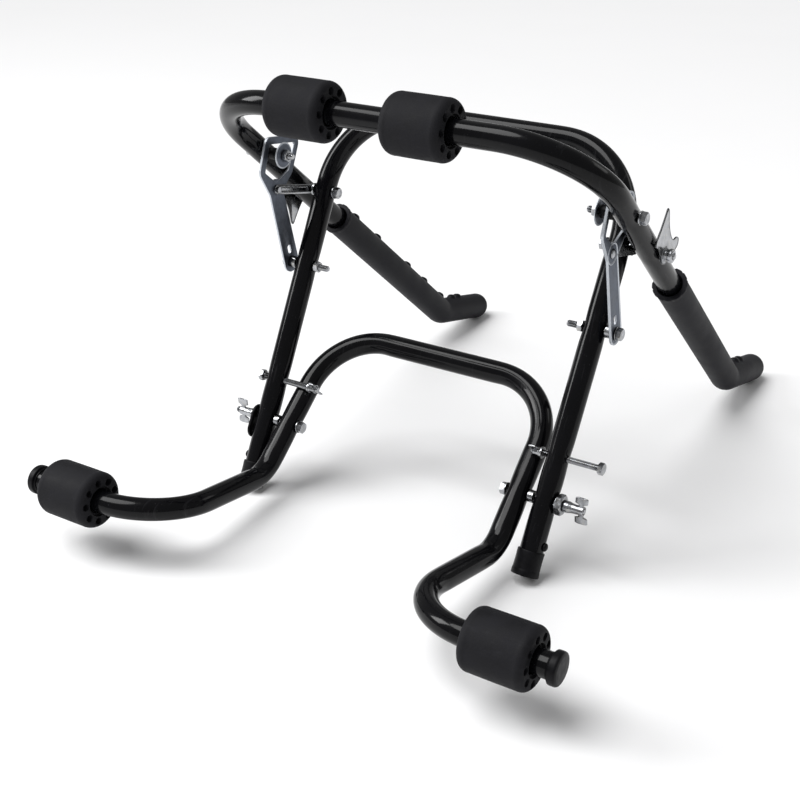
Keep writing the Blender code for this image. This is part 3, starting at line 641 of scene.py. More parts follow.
def finishes():
    """Materials by slot, made once."""
    colours = bpy.context.scene.carrier_finishes
    makers = {
        "enamel": (enamel_finish, colours.enamel),
        "grip": (grip_finish, colours.grip),
        "foam": (roller_finish, colours.roller),
        "rubber": (rubber_finish, colours.rubber),
        "zinc": (zinc_finish, colours.zinc),
        "galvanised": (plate_finish, colours.plate),
    }
    for slot, (maker, colour) in makers.items():
        if slot not in MADE_FINISHES:
            MADE_FINISHES[slot] = maker(tuple(colour))
    return MADE_FINISHES


# ---- tubes ----
def mirrored(half):
    """Corners from the left end to the middle, then the same on the right."""
    return [point * (-1, 1, 1) for point in half] + half[::-1]


def tube_shell(line, normal, holes, columns=56):
    """Hollow bent tube. Its section is squeezed sideways by depth * exp(-(distance / reach)^2) at
    each bolt hole, and by a share of the curvature in each bend; the inner wall runs back."""
    sizes = bpy.context.scene.carrier_sizes
    tangent, side, top = line_frames(line, normal)
    step = np.linalg.norm(np.gradient(line, axis=0), axis=1)[:, None]
    curve = np.gradient(tangent, axis=0) / step
    kernel = np.ones(5) / 5
    bend_side = np.convolve(np.abs((curve * side).sum(1)), kernel, "same") * sizes.tube_radius * 0.22
    bend_top = np.convolve(np.abs((curve * top).sum(1)), kernel, "same") * sizes.tube_radius * 0.22
    away = np.linalg.norm(line[:, None] - np.array(holes)[None], axis=2)
    press = np.exp(-((away / sizes.dimple_reach) ** 2)).sum(1) * sizes.dimple_depth / sizes.tube_radius
    side_scale, top_scale = 1 - press - bend_side, 1 + 0.4 * press - bend_top
    angles = round_angles(columns)[None]
    skin_reach = np.full((len(line), 1), sizes.tube_radius)
    outer = swept(line, side, top, skin_reach, angles, side_scale, top_scale)
    keep = np.unique(np.append(np.arange(0, len(line), 4), len(line) - 1))
    wall = np.full((len(keep), 1), sizes.tube_radius - sizes.tube_wall)
    inner = swept(line[keep], side[keep], top[keep], wall, angles, side_scale[keep], top_scale[keep])
    return skin(np.vstack((outer, inner[::-1])), closed=True)


def hole_points(stations):
    """Left and right hole centres from (x, point on the middle line) pairs."""
    return [point + ACROSS * sign * x for x, point in stations for sign in (-1, 1)]


def main_line():
    foot, head = PIVOT - LEG_DIR * LEG_BELOW, PIVOT + LEG_DIR * LEG_ABOVE
    half = [foot + ACROSS * LEG_HALF_BOTTOM, head + ACROSS * LEG_HALF_TOP]
    return bent_line(mirrored(half), [MAIN_BEND] * 2, 0.0035)


def arm_line():
    half = [
        ELBOW + TIP_DIR * TIP_LENGTH + ACROSS * ARM_HALF_ELBOW,
        ELBOW + ACROSS * ARM_HALF_ELBOW,
        CROSS - ARM_DIR * ARM_FORE + ACROSS * ARM_HALF_CROSS,
    ]
    return bent_line(mirrored(half), [ELBOW_BEND, ARM_BEND, ARM_BEND, ELBOW_BEND], 0.0040)


def foot_line():
    half = [
        world(FOOT_HALF, (-FOOT_REACH, -FOOT_DROP)),
        world(HAIRPIN_HALF, (-FOOT_REACH, -FOOT_DROP)),
        PIVOT - FOOT_DIR * KNUCKLE_DOWN + ACROSS * KNUCKLE_HALF,
        PIVOT + FOOT_DIR * HOOP_UP + ACROSS * HOOP_HALF,
    ]
    bends = [HAIRPIN_BEND, KNUCKLE_BEND, HOOP_BEND, HOOP_BEND, KNUCKLE_BEND, HAIRPIN_BEND]
    return bent_line(mirrored(half), bends, 0.0035)


def stop_up():
    """Distance up the leg from the pivot to the stop bolts, from their own place in the frame."""
    middle = node_span("stop_bolt_right")[2]
    return float((middle - PIVOT * (0, 1, 1)) @ LEG_DIR)


# ---- grips ----
def grip_line(sign):
    start = CROSS + ARM_DIR * SLEEVE_START + ACROSS * sign * arm_x(SLEEVE_START)
    elbow = ELBOW + ACROSS * sign * ARM_HALF_ELBOW
    return bent_line([start, elbow, elbow + TIP_DIR * TIP_LENGTH], [ELBOW_BEND], 0.002)


def grip_piece(side):
    """Grip: a sleeve with a thick open collar, a round closed tip and domed studs on top. The studs
    lift the skin by rise * sqrt(1 - (distance / radius)^4) straight up from the sleeve."""
    sizes = bpy.context.scene.carrier_sizes
    sign = SIDES[side]
    line = grip_line(sign)
    run = line_length(line)
    tip_studs = tuple(ARM_AFT + station for station in TIP_STUD_STATIONS)
    studs = np.array(STUD_STATIONS + tip_studs) - SLEEVE_START
    stations = crowded(0.009, run, 330, studs, 0.0078, 7.0)
    angles = crowded(-pi / 2, 1.5 * pi, 105, pi / 2, 0.42, 5.0)[:-1]
    centre = even_line(line, stations)
    tangent, lateral, top = line_frames(centre, ARM_NORMAL)
    over = (angles - pi / 2)[None]
    away = np.hypot(stations[:, None, None] - studs, (sizes.sleeve_radius * np.sin(over))[..., None])
    away = np.where((np.abs(over) < pi / 2)[..., None], away, 1.0)
    share = np.clip(1 - (away / sizes.stud_radius) ** 4, 0, 1)
    dome = np.sqrt(share).max(2)
    skirt = np.exp(-(np.clip(away - sizes.stud_radius, 0, None) / 0.0012) ** 2).max(2) * (dome <= 0) * 0.06
    body = swept(centre, lateral, top, np.full((len(centre), 1), sizes.sleeve_radius), angles[None])
    body = body + top[:, None] * ((dome + skirt) * sizes.stud_rise)[..., None]
    mouth = sizes.tube_radius + GAP * 2
    wide, long = sizes.collar_radius, sizes.collar_length
    collar = [(0.006, mouth), (0.0015, mouth + 0.0007), (0, mouth + 0.0016), (0, wide - 0.0006)]
    collar += [(0.0005, wide), (long, wide), (long + 0.0009, sizes.sleeve_radius)]
    collar = bevelled(collar, 0.0006, 3)
    notched = smooth_step(np.cos(angles * NOTCHES), 0.72, 0.9)[None] * (collar[:, 1:2] > wide - 0.001)
    rim_line = line[0] + tangent[0] * collar[:, 0:1]
    ones = np.ones((len(collar), 1))
    reach = collar[:, 1:2] * (1 - NOTCH_SHARE * notched)
    rim = swept(rim_line, lateral[0] * ones, top[0] * ones, reach, angles[None])
    turn = np.linspace(0, pi / 2, 14)[1:-1, None]
    radius = sizes.sleeve_radius
    tip_line = centre[-1] + tangent[-1] * radius * np.sin(turn)
    ones = np.ones((len(turn), 1))
    tip = swept(tip_line, lateral[-1] * ones, top[-1] * ones, radius * np.cos(turn), angles[None])
    bore_line = even_line(line, np.linspace(run + GAP, 0.006, 60))
    _, bore_side, bore_top = line_frames(bore_line[::-1], ARM_NORMAL)
    bore = swept(bore_line, bore_side[::-1], bore_top[::-1], np.full((60, 1), mouth), angles[None])
    pole = np.full((1, 1), mouth * 0.02)
    inner_end = swept(bore_line[:1], bore_side[-1:], bore_top[-1:], pole, angles[None])
    end_point, pole = centre[-1:] + tangent[-1] * radius, np.full((1, 1), 0.0001)
    tip_end = swept(end_point, lateral[-1:], top[-1:], pole, angles[None])
    rings = np.vstack((rim, body, tip, tip_end))
    marks = np.zeros(rings.shape[:2], np.float32)
    marks[len(rim) : len(rim) + len(body)] = smooth_step(dome, 0.2, 0.7)
    hollow = np.vstack((inner_end, bore[:-1]))
    rows = np.vstack((hollow, rings))
    marks = np.vstack((np.zeros(hollow.shape[:2], np.float32), marks))
    node = f"arm_sleeve_{side}"
    return add_piece(node, [skin(rows)], [marks], radians(40))


# ---- rollers ----
def roller_piece(node, columns=216):
    """Roller: a turned barrel with rounded shoulders. Each end sinks by a central recess and by a
    ring of round pockets, as depth * step of the distance from the nearest pocket's middle."""
    sizes = bpy.context.scene.carrier_sizes
    low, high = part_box(node)
    half, radius = (high.x - low.x) / 2, (high.z - low.z) / 2
    middle = np.array(((low.x + high.x) / 2, (low.y + high.y) / 2, (low.z + high.z) / 2))
    bore = sizes.tube_radius + GAP * 2
    edge, taper = sizes.roller_edge, sizes.roller_taper
    face = np.arange(bore + 0.0008, radius - edge, 0.0007)
    turn = np.linspace(0, pi / 2, 9)
    shoulder = np.stack((half - taper * (1 - np.cos(turn)), radius - edge * (1 - np.sin(turn))), 1)
    barrel = np.linspace(half - taper * 1.1, 0, 10)
    flank = np.stack((barrel, radius + 0.00025 * (1 - (barrel / half) ** 2) - 0.00025), 1)
    flat = np.stack((np.full_like(face, half), face), 1)
    end = np.vstack(((half - 0.006, bore), flat, shoulder, flank))
    profile = np.vstack((end, end[-2::-1] * (-1, 1)))
    rings = turned_rings(profile, columns)
    angles = round_angles(columns)[None]
    reach = np.hypot(rings[..., 1], rings[..., 2])
    pitch = 2 * pi / sizes.pocket_count
    off = (angles + pitch / 2) % pitch - pitch / 2
    away = np.hypot(reach - sizes.pocket_ring, sizes.pocket_ring * off)
    soft = 0.0004
    outside = smooth_step(away, sizes.pocket_radius - soft, sizes.pocket_radius + soft)
    pocket = sizes.pocket_depth * (1 - outside)
    recess = 0.0035 * (1 - smooth_step(reach, bore + 0.0022, bore + 0.0036)) * (reach > bore + 0.0005)
    on_face = np.abs(rings[..., 0]) > half - 0.0001
    rings[..., 0] -= np.sign(rings[..., 0]) * np.where(on_face, np.maximum(pocket, recess), 0)
    shell = skin(stood(rings, middle, ACROSS, 0.2), closed=True)
    made = add_piece(node, [shell], None, radians(48))
    return made


# ---- caps ----
def leg_cap_piece(side):
    """Cup over a leg's lower end, with a flared lip and a hollow sole."""
    sizes = bpy.context.scene.carrier_sizes
    sign = SIDES[side]
    low = PIVOT - LEG_DIR * LEG_BELOW + ACROSS * sign * LEG_HALF_BOTTOM
    high = PIVOT + LEG_DIR * LEG_ABOVE + ACROSS * sign * LEG_HALF_TOP
    axis = unit(high - low)
    bore = sizes.tube_radius + GAP
    sole = -0.0033
    profile = [(0, 0.0004), (0, bore), (0.0267, bore), (0.0267, 0.0158), (0.0255, 0.0161), (0.016, 0.0158)]
    profile += [(0.0045, 0.0160), (0.0025, 0.0165), (sole + 0.0006, 0.0165), (sole, 0.0160), (sole, 0.0110)]
    profile += [(sole + 0.001, 0.0100), (sole + 0.001, 0.0004)]
    rings = turned_rings(bevelled(profile, 0.0007), 64)
    node = f"leg_cap_{side}"
    return add_piece(node, [skin(stood(rings, low, axis))])


def foot_cap_piece(side):
    """Headed plug in the foot's outer end: a neck, a groove and a crowned head."""
    sign = SIDES[side]
    node = f"foot_cap_{side}"
    low, high, middle = node_span(node)
    outer = high if sign > 0 else -low
    face = FOOT_HALF
    head = outer - face
    stem = 0.0121
    profile = [(-0.0125, 0.0004), (-0.0125, stem * 0.9), (-0.011, stem), (GAP, stem), (GAP, 0.0150)]
    profile += [(0.0020, 0.0152), (0.0030, 0.0178), (0.0040, 0.0180)]
    profile += [(head - 0.0030, 0.0180), (head - 0.0012, 0.0172)]
    profile += [(head - 0.0002, 0.0140), (head, 0.0080), (head, 0.0004)]
    rings = turned_rings(bevelled(profile, 0.0010, 5), 64)
    place = np.array((sign * face, middle[1], middle[2]))
    return add_piece(node, [skin(stood(rings, place, ACROSS * sign))])


def leg_plug_piece(side):
    """Push-in plug: a low domed button."""
    node = f"leg_plug_{side}"
    start, direction, length = on_axis(node, side)
    head = length - 0.003
    profile = [(0, 0.0004), (0, 0.0027), (0.0030, 0.0027), (0.0030, 0.0050), (0.0030 + head * 0.45, 0.0050)]
    profile += [(0.0030 + head * 0.8, 0.0038), (length, 0.0022), (length, 0.0004)]
    rings = turned_rings(bevelled(profile, 0.0006), 40)
    return add_piece(node, [skin(stood(rings, start, direction))])


# ---- plates ----
def disc_outline(discs, count=220):
    """Even points round the hull of (y, z, radius) discs, starting from its lowest point."""
    angles = round_angles(96)
    y, z, radius = np.asarray(discs, float).T[..., None]
    points = np.stack((y + radius * np.cos(angles), z + radius * np.sin(angles)), -1).reshape(-1, 2)
    hull = points[convex_hull_2d([Vector(point) for point in points])]
    hull = np.roll(hull, -int(hull[:, 1].argmin()), 0)
    around = np.vstack((hull, hull[:1]))
    run = np.concatenate(([0], np.cumsum(np.linalg.norm(np.diff(around, axis=0), axis=1))))
    stations = np.linspace(0, run[-1], count, endpoint=False)
    made = np.stack([np.interp(stations, run, around[:, axis]) for axis in range(2)], 1)
    following = np.roll(made, -1, 0)
    turning = (made[:, 0] * following[:, 1] - made[:, 1] * following[:, 0]).sum()
    return made if turning > 0 else np.roll(made[::-1], 1, 0)


def edge_section(thick, lip, round_over):
    """Section of a plate's outer edge as (outward from the edge, along the thickness) rows."""
    rows = [(-0.0030, 0), (-round_over, 0), (0, round_over), (0, thick + lip - round_over * 0.6)]
    rows += [(-round_over * 0.6, thick + lip), (-0.0011, thick + lip), (-0.0018, thick), (-0.0030, thick)]
    return bevelled(rows, round_over, 3)


def pressed_shell(outer, inner, thick, lip, x, sign, round_over=0.0005):
    """Pressed sheet between an outer outline and the edge of its hole: the section follows the
    outer edge with its lip, crosses to the hole and runs back through it."""
    grown = unit(np.roll(outer, -1, 0) - np.roll(outer, 1, 0))
    normal = np.stack((grown[:, 1], -grown[:, 0]), 1)
    inward = unit(np.roll(inner, -1, 0) - np.roll(inner, 1, 0))
    hole_normal = np.stack((inward[:, 1], -inward[:, 0]), 1)
    section = edge_section(thick, lip, round_over)
    rows = [np.column_stack((np.full(len(outer), depth), outer + normal * out)) for out, depth in section]
    soft = round_over * 0.8
    half = ((0, soft), (soft * 0.3, soft * 0.3), (soft, 0))
    for grow, depth in (*((grow, thick - depth) for grow, depth in half[::-1]), *half):
        rows.append(np.column_stack((np.full(len(inner), depth), inner + hole_normal * grow)))
    rings = np.stack(rows)
    return skin(np.stack((x + sign * rings[..., 0], rings[..., 1], rings[..., 2]), -1), closed=True)


def edge_marks(thick, lip, columns, round_over=0.0005):
    """1 on the folded lip and round the hole, 0 on the flat faces, for a pressed shell's rows."""
    section = edge_section(thick, lip, round_over)
    rim = (section[:, 0] > -0.0020) & (section[:, 1] > round_over)
    rows = np.concatenate((rim, (False, True, True, True, True, False)))
    return np.repeat(rows[:, None], columns, 1).astype(np.float32)


def side_plate_piece(side):
    """Bracket plate: a pressed loop round a window above a slotted strip, both with a folded lip."""
    sizes = bpy.context.scene.carrier_sizes
    sign = SIDES[side]
    node = f"side_plate_{side}"
    low, high, _ = node_span(node)
    inner_x = low if sign > 0 else high
    pin = CROSS[1:] + PIN_FROM_CROSSING
    down = PIVOT[1:] + (LEG_DIR * BRACKET_UP)[1:] - pin
    head = np.array(((0, 0, WAIST_R), *HEAD_DISCS))
    window = np.array((WINDOW_FOOT, *[(y, z, r - HEAD_STRIP) for y, z, r in HEAD_DISCS]))
    loop = pressed_shell(
        disc_outline(head) + pin, disc_outline(window) + pin, PLATE_THICK, sizes.plate_lip, inner_x, sign
    )
    up = -unit(down)
    slot = np.array([(*(down + up * (SLOT_UP + shift)), SLOT_HALF) for shift in (-SLOT_HALF, SLOT_HALF)])
    strip = np.array(((0, 0, WAIST_R - 0.0003), (*down, PLATE_FOOT_R)))
    inset = 0.0002
    lower = pressed_shell(
        disc_outline(strip, 320) + pin,
        disc_outline(slot, 320) + pin,
        PLATE_THICK - 2 * inset,
        sizes.plate_lip,
        inner_x + sign * inset,
        sign,
    )
    # marks the lips and hole edges for the painted highlight of the plate finish
    marks = [edge_marks(PLATE_THICK, sizes.plate_lip, 220), edge_marks(PLATE_THICK, sizes.plate_lip, 320)]
    return add_piece(node, [loop, lower], marks, radians(40))


def strap_bar_piece(side):
    """Short pressed bar from the waist pin to the crossing bolt: two ridges run along its face, as
    height * exp(-((across - ridge) / width)^2), and its ends are round."""
    sign = SIDES[side]
    node = f"strap_bar_{side}"
    low, high, _ = node_span(node)
    pin = np.array((0, *(CROSS[1:] + PIN_FROM_CROSSING)))
    reach = CROSS * (0, 1, 1) - pin
    length = np.linalg.norm(reach)
    along = unit(reach)
    across = np.cross(ACROSS, along)
    turn = np.linspace(0, pi / 2, 10)
    start, end = -np.cos(turn)[:-1] * BAR_HALF, length + np.sin(turn)[1:] * BAR_HALF
    u = np.concatenate((start, np.linspace(0, length, 30), end))
    past = np.clip(np.maximum(-u, u - length), 0, BAR_HALF)
    half = np.sqrt(np.clip(BAR_HALF**2 - past**2, 0.0004**2, None))
    v = np.linspace(-1, 1, 41)
    thick = high - low
    base = thick * 0.62
    spread = half[:, None] * v[None]
    ridge = sum(np.exp(-(((spread - place) / 0.0012) ** 2)) for place in (-0.0034, 0.0034))
    inside = 1 - np.abs(v)
    ends = smooth_step(half, BAR_HALF * 0.35, BAR_HALF * 0.98)
    fade = ends[:, None] * smooth_step(inside, 0.0, 0.2)[None]
    face = base * (0.55 + 0.45 * smooth_step(inside, 0, 0.14))[None] + (thick - base) * ridge * fade
    outer_x = max(abs(low), abs(high))
    top_x = sign * (outer_x - face)
    back_x = np.full_like(top_x, sign * outer_x)
    sheet = pin + along * u[:, None, None] + across * spread[..., None]
    upper, lower = sheet.copy(), sheet.copy()
    upper[..., 0], lower[..., 0] = top_x, back_x
    rings = np.concatenate((upper, lower[:, ::-1]), 1)
    return add_piece(node, [skin(rings)], None, radians(35))


def pin_piece(side):
    """Waist rivet: a domed head on a short shank."""
    node = f"plate_pin_{side}"
    start, direction, length = on_axis(node, side, facing_out=False)
    profile = [(0.0000, 0.0004), (0.0001, 0.0020), (0.0008, 0.0044), (0.0019, 0.0055), (0.0025, 0.0055)]
    profile += [(0.0025, 0.0030), (length - 0.0006, 0.0030), (length, 0.0042)]
    profile += [(length + 0.0006, 0.0040), (length + 0.0009, 0.0004)]
    rings = turned_rings(bevelled(profile, 0.0004), 40)
    return add_piece(node, [skin(stood(rings, start, direction))])


# ---- fasteners ----
def bolt_piece(node, side, facing_out, collar, spin=0.3, columns=36):
    """Bolt: a chamfered hexagon with a washer face or collar, a threaded shank and a coned tip."""
    start, direction, length = on_axis(node, side, facing_out)
    head = hex_head(0, HEX_HEIGHT, HEX_FLAT, face_end=not collar)
    dish = np.array(((0.0004, 0.0004), (0.0004, HEX_FLAT * 0.30), (0, HEX_FLAT * 0.36)))
    top = np.vstack((dish, head))
    limit = hex_reach(round_angles(columns), HEX_FLAT)[None] * np.ones((len(top), 1))
    rings = [turned_rings(top, columns, limit)]
    under = HEX_HEIGHT
    if collar:
        lip = [(under, HEX_FLAT / 2), (under, WASHER_R - 0.0004), (under + 0.0004, WASHER_R)]
        lip += [(under + WASHER_THICK - 0.0002, WASHER_R), (under + WASHER_THICK, WASHER_R - 0.0002)]
        rings.append(turned_rings(lip, columns))
        under += WASHER_THICK
    tip = BOLT_R * 0.25
    neck = [(under, BOLT_R - 0.0001), (under + 0.0008, BOLT_R - 0.0002)]
    rings.append(turned_rings(neck, columns))
    rings.append(threaded(under + 0.0010, length - tip, columns))
    cone = [(length - tip * 0.9, BOLT_R - 0.0006), (length, BOLT_R - 0.0012), (length, 0.0004)]
    rings.append(turned_rings(cone, columns))
    return add_piece(node, [skin(stood(np.vstack(rings), start, direction, spin))])


def nut_piece(node, side, flat, spin=0.1, columns=60):
    """Nut: a hexagon chamfered at both ends over a round bore."""
    start, direction, length = on_axis(node, side)
    bore, soft = BOLT_R + GAP, 0.0006
    rows = np.vstack(((0, bore), hex_head(0, length, flat), (length, bore + soft), (length - soft, bore)))
    limit = hex_reach(round_angles(columns), flat)[None] * np.ones((len(rows), 1))
    rings = turned_rings(rows, columns, limit)
    return add_piece(node, [skin(stood(rings, start, direction, spin), closed=True)])


def ring_piece(node, side, rounding=0.0004, columns=56):
    """Plain washer, spacer or bush with rounded edges."""
    start, direction, length = on_axis(node, side)
    low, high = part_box(node)
    radius = (high.z - low.z) / 2
    bore = BOLT_R + GAP
    start_row = (0, bore + rounding)
    rows = [start_row, (0, radius), (length, radius), (length, bore), (0, bore), start_row]
    rings = turned_rings(bevelled(rows, rounding)[1:-1], columns)
    return add_piece(node, [skin(stood(rings, start, direction), closed=True)])


def disc_piece(side):
    """Broad dished washer: a flat seat, a conical dish and a rolled rim."""
    node = f"arm_disc_{side}"
    start, direction, length = on_axis(node, side)
    low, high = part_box(node)
    radius = (high.z - low.z) / 2
    bore = BOLT_R + GAP
    skin_thick = 0.0009
    dish = length * 0.45
    outer = [(0.0, bore), (0.0, 0.0090), (dish, 0.0138), (length * 0.30, radius - 0.0012)]
    outer += [(length * 0.55, radius)]
    back = [(length, radius - 0.0004), (length, radius - 0.0014), (dish + skin_thick, 0.0136)]
    back += [(skin_thick, 0.0088), (skin_thick, bore)]
    rings = turned_rings(bevelled(outer + back, 0.0007, 5), 72)
    # rim mark, for the painted highlight that the plate finish puts on the rolled rim
    rim = smooth_step(np.hypot(rings[..., 1], rings[..., 2]), radius - 0.0022, radius - 0.0014)
    shell = skin(stood(rings, start, direction), closed=True)
    return add_piece(node, [shell], [rim])


def ear_shell(start, direction, spin, root, reach, low, high, thick, blocky=False):
    """One ear of a wing nut: a flat oval section carried outwards from the hub, which widens from
    the neck towards its round end."""
    u = np.linspace(0, 1, 34)
    out = root + (reach - root) * u
    turn, neck, swell = (0.88, 0.40, (0.22, 0.40)) if blocky else (0.72, 0.62, (0.15, 0.75))
    round_off = np.sqrt(np.clip(1 - np.clip((u - turn) / (1 - turn), 0, 1) ** 2, 0.0016, None))
    middle = (low + high) / 2 + (high - low) * 0.06 * u
    half = (high - low) / 2 * (neck + (1 - neck) * smooth_step(u, *swell)) * round_off
    depth = thick / 2 * (1.35 - 0.35 * smooth_step(u, 0, 0.5)) * np.sqrt(round_off)
    angles = round_angles(28)
    wide = np.sign(np.cos(angles)) * np.abs(np.cos(angles)) ** 0.7
    flat = np.sign(np.sin(angles)) * np.abs(np.sin(angles)) ** 0.8
    along = middle[:, None] + half[:, None] * wide
    rings = np.stack((along, np.repeat(out[:, None], 28, 1), depth[:, None] * flat), -1)
    return skin(stood(rings, start, direction, spin))


def wing_nut_piece(node, side, facing_out, centre, spin, columns=48):
    """Wing nut: a waisted hub over a round bore and two ears."""
    start, direction, length = on_axis(node, side, facing_out, centre)
    corner_low, corner_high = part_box(node)
    half_span = max(corner_high.z - corner_low.z, corner_high.y - corner_low.y) / 2
    pivoted = node.startswith("pivot")
    hub = length * (0.86 if pivoted else 0.74)
    bore = BOLT_R + GAP
    reach = 0.0175 if pivoted else min(0.017, half_span)
    rows = [(0, bore), (0, 0.0070), (hub * 0.22, 0.0070), (hub * 0.42, 0.0058)]
    rows += [(hub * 0.7, 0.0054), (hub, 0.0056), (hub, bore)]
    shells = [skin(stood(turned_rings(bevelled(rows, 0.0007), columns), start, direction), closed=True)]
    ear = (bore + 0.0004, reach, hub * (0.52 if pivoted else 0.30), length, 0.0024, pivoted)
    for turn in (0, pi):
        shells.append(ear_shell(start, direction, spin + turn, *ear))
    return add_piece(node, shells, None, radians(38))


def spline_loop(points, count):
    """Even points on a closed Catmull-Rom curve through the given points."""
    points = np.asarray(points, float)
    t = np.linspace(0, 1, 24, endpoint=False)[:, None]
    before, after, beyond = np.roll(points, 1, 0), np.roll(points, -1, 0), np.roll(points, -2, 0)
    pieces = [
        0.5 * (2 * b + (c - a) * t + (2 * a - 5 * b + 4 * c - d) * t**2 + (3 * b - a - 3 * c + d) * t**3)
        for a, b, c, d in zip(before, points, after, beyond)
    ]
    around = np.vstack((*pieces, pieces[0][:1]))
    run = np.concatenate(([0], np.cumsum(np.linalg.norm(np.diff(around, axis=0), axis=1))))
    stations = np.linspace(0, run[-1], count, endpoint=False)
    return np.stack([np.interp(stations, run, around[:, axis]) for axis in range(2)], 1)


LEVER_LOOP = (
    (-0.0285, 0.0235), (-0.0295, 0.0190), (-0.0265, 0.0160), (-0.0200, 0.0130), (-0.0120, 0.0020),
    (-0.0080, -0.0080), (0.0000, -0.0120), (0.0080, -0.0105), (0.0180, -0.0060), (0.0300, -0.0035),
    (0.0380, 0.0015), (0.0385, 0.0080), (0.0330, 0.0115), (0.0230, 0.0110), (0.0140, 0.0190),
    (0.0070, 0.0330), (0.0035, 0.0500), (0.0010, 0.0545), (-0.0020, 0.0535), (-0.0060, 0.0480),
    (-0.0160, 0.0360), (-0.0250, 0.0270),
)


def lever_piece(side):
    """Clamp nut with a sheet lever: a stepped hub, and a blade of thin sheet with a rolled edge whose
    outline is a smooth loop; its face is dished by a share of the distance from the edge."""
    sign = SIDES[side]
    node = f"clamp_lever_{side}"
    start, direction, length = on_axis(node, side, True, CROSS)
    bore = BOLT_R + GAP
    rows = [(0, bore), (0, 0.0085), (0.0012, 0.0098), (length * 0.28, 0.0100), (length * 0.36, 0.0074)]
    rows += [(length * 0.62, 0.0070), (length * 0.66, 0.0082), (length * 0.9, 0.0082)]
    rows += [(length, 0.0066), (length, bore)]
    hub = skin(stood(turned_rings(bevelled(rows, 0.0006), 56), start, direction), closed=True)
    loop = spline_loop(LEVER_LOOP, 200)
    if sign < 0:
        loop = loop * (-1, -1)
    centre = loop.mean(0) * 0.4
    thick = 0.0020
    flat = thick * 0.8
    section = [(0.10, flat), (0.40, flat), (0.70, flat), (0.90, flat), (0.955, thick), (0.985, thick)]
    section += [(1.0, thick * 0.7), (1.0, thick * 0.3), (0.985, 0.0), (0.955, 0.0)]
    section += [(0.90, thick * 0.2), (0.10, thick * 0.2)]
    rings = np.stack([
        np.column_stack((np.full(len(loop), depth), centre + (loop - centre) * share))
        for share, depth in section
    ])
    place = start + direction * 0.0020
    blade = rings * (direction[0], 1, 1) + (place[0], CROSS[1], CROSS[2])
    rim = np.array([float(share > 0.95) for share, _ in section], np.float32)
    marks = [None, np.repeat(rim[:, None], len(loop), 1)]
    return add_piece(node, [hub, skin(blade)], marks, radians(50))


def anchor_piece():
    """Thick oblong plate under the left wing nut, with rounded edges."""
    node = "anchor_plate_left"
    low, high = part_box(node)
    discs = np.array(((*(LEG_DIR * 0.001)[1:], 0.013), (*(-LEG_DIR * 0.017)[1:], 0.013)))
    outline = disc_outline(discs, 160) + PIVOT[1:]
    hole = disc_outline(((0, 0, BOLT_R + GAP),), 160) + PIVOT[1:]
    shell = pressed_shell(outline, hole, high.x - low.x, 0.0, high.x, -1, 0.0007)
    return add_piece(node, [shell])


# ---- operators ----
class CARRIER_OT_tubes(bpy.types.Operator):
    """Build the three bent tubes with their bolt dimples"""

    bl_idname = "carrier.tubes"
    bl_label = "Bent Tubes"

    def execute(self, context):
        legs = [(leg_x(up), PIVOT + LEG_DIR * up) for up in (CROSSING_UP, BRACKET_UP, 0.0, stop_up())]
        arms = [(arm_x(aft), CROSS + ARM_DIR * aft) for aft in (0.0, -ARM_BOLT_FORE)]
        middle = PIVOT * (0, 1, 1)
        legs = [(x, point * (0, 1, 1)) for x, point in legs]
        arms = [(x, point * (0, 1, 1)) for x, point in arms]
        for node, line, normal, holes in (
            ("main_frame", main_line(), MAIN_NORMAL, legs),
            ("arm_frame", arm_line(), ARM_NORMAL, arms),
            ("foot_frame", foot_line(), FOOT_NORMAL, [(foot_x(0), middle)]),
        ):
            add_piece(node, [tube_shell(line, normal, hole_points(holes))])
        return {"FINISHED"}


class CARRIER_OT_grips(bpy.types.Operator):
    """Build the two studded grips"""

    bl_idname = "carrier.grips"
    bl_label = "Grips"

    def execute(self, context):
        for side in SIDES:
            grip_piece(side)
        return {"FINISHED"}


class CARRIER_OT_rollers(bpy.types.Operator):
    """Build the four pocketed rollers"""

    bl_idname = "carrier.rollers"
    bl_label = "Rollers"

    def execute(self, context):
        for place in ("upper", "lower"):
            for side in SIDES:
                roller_piece(f"roller_{place}_{side}")
        return {"FINISHED"}


class CARRIER_OT_caps(bpy.types.Operator):
    """Build the leg cups, foot plugs and leg buttons"""

    bl_idname = "carrier.caps"
    bl_label = "Caps and Plugs"

    def execute(self, context):
        for side in SIDES:
            leg_cap_piece(side)
            foot_cap_piece(side)
            leg_plug_piece(side)
        return {"FINISHED"}


class CARRIER_OT_brackets(bpy.types.Operator):
    """Build the side plates, strap bars and waist pins"""

    bl_idname = "carrier.brackets"
    bl_label = "Brackets"

    def execute(self, context):
        for side in SIDES:
            side_plate_piece(side)
            strap_bar_piece(side)
            pin_piece(side)
        return {"FINISHED"}


class CARRIER_OT_bolts(bpy.types.Operator):
    """Build the bolts, nuts, spacers and dished washers"""

    bl_idname = "carrier.bolts"
    bl_label = "Bolts and Nuts"

    def execute(self, context):
        for side in SIDES:
            bolt_piece(f"crossing_bolt_{side}", side, True, True)
            bolt_piece(f"arm_bolt_{side}", side, False, True)
            bolt_piece(f"bracket_bolt_{side}", side, False, True)
            bolt_piece(f"pivot_bolt_{side}", side, True, True)
            bolt_piece(f"stop_bolt_{side}", side, False, False)
            nut_piece(f"arm_nut_{side}", side, HEX_FLAT)
            nut_piece(f"bracket_nut_{side}", side, HEX_FLAT)
            for part in ("crossing_spacer", "arm_spacer", "bracket_spacer", "pivot_spacer"):
                ring_piece(f"{part}_{side}", side)
            disc_piece(side)
        nut_piece("pivot_collar_right", "right", PIVOT_NUT_FLAT, spin=0.4)
        anchor_piece()
        return {"FINISHED"}


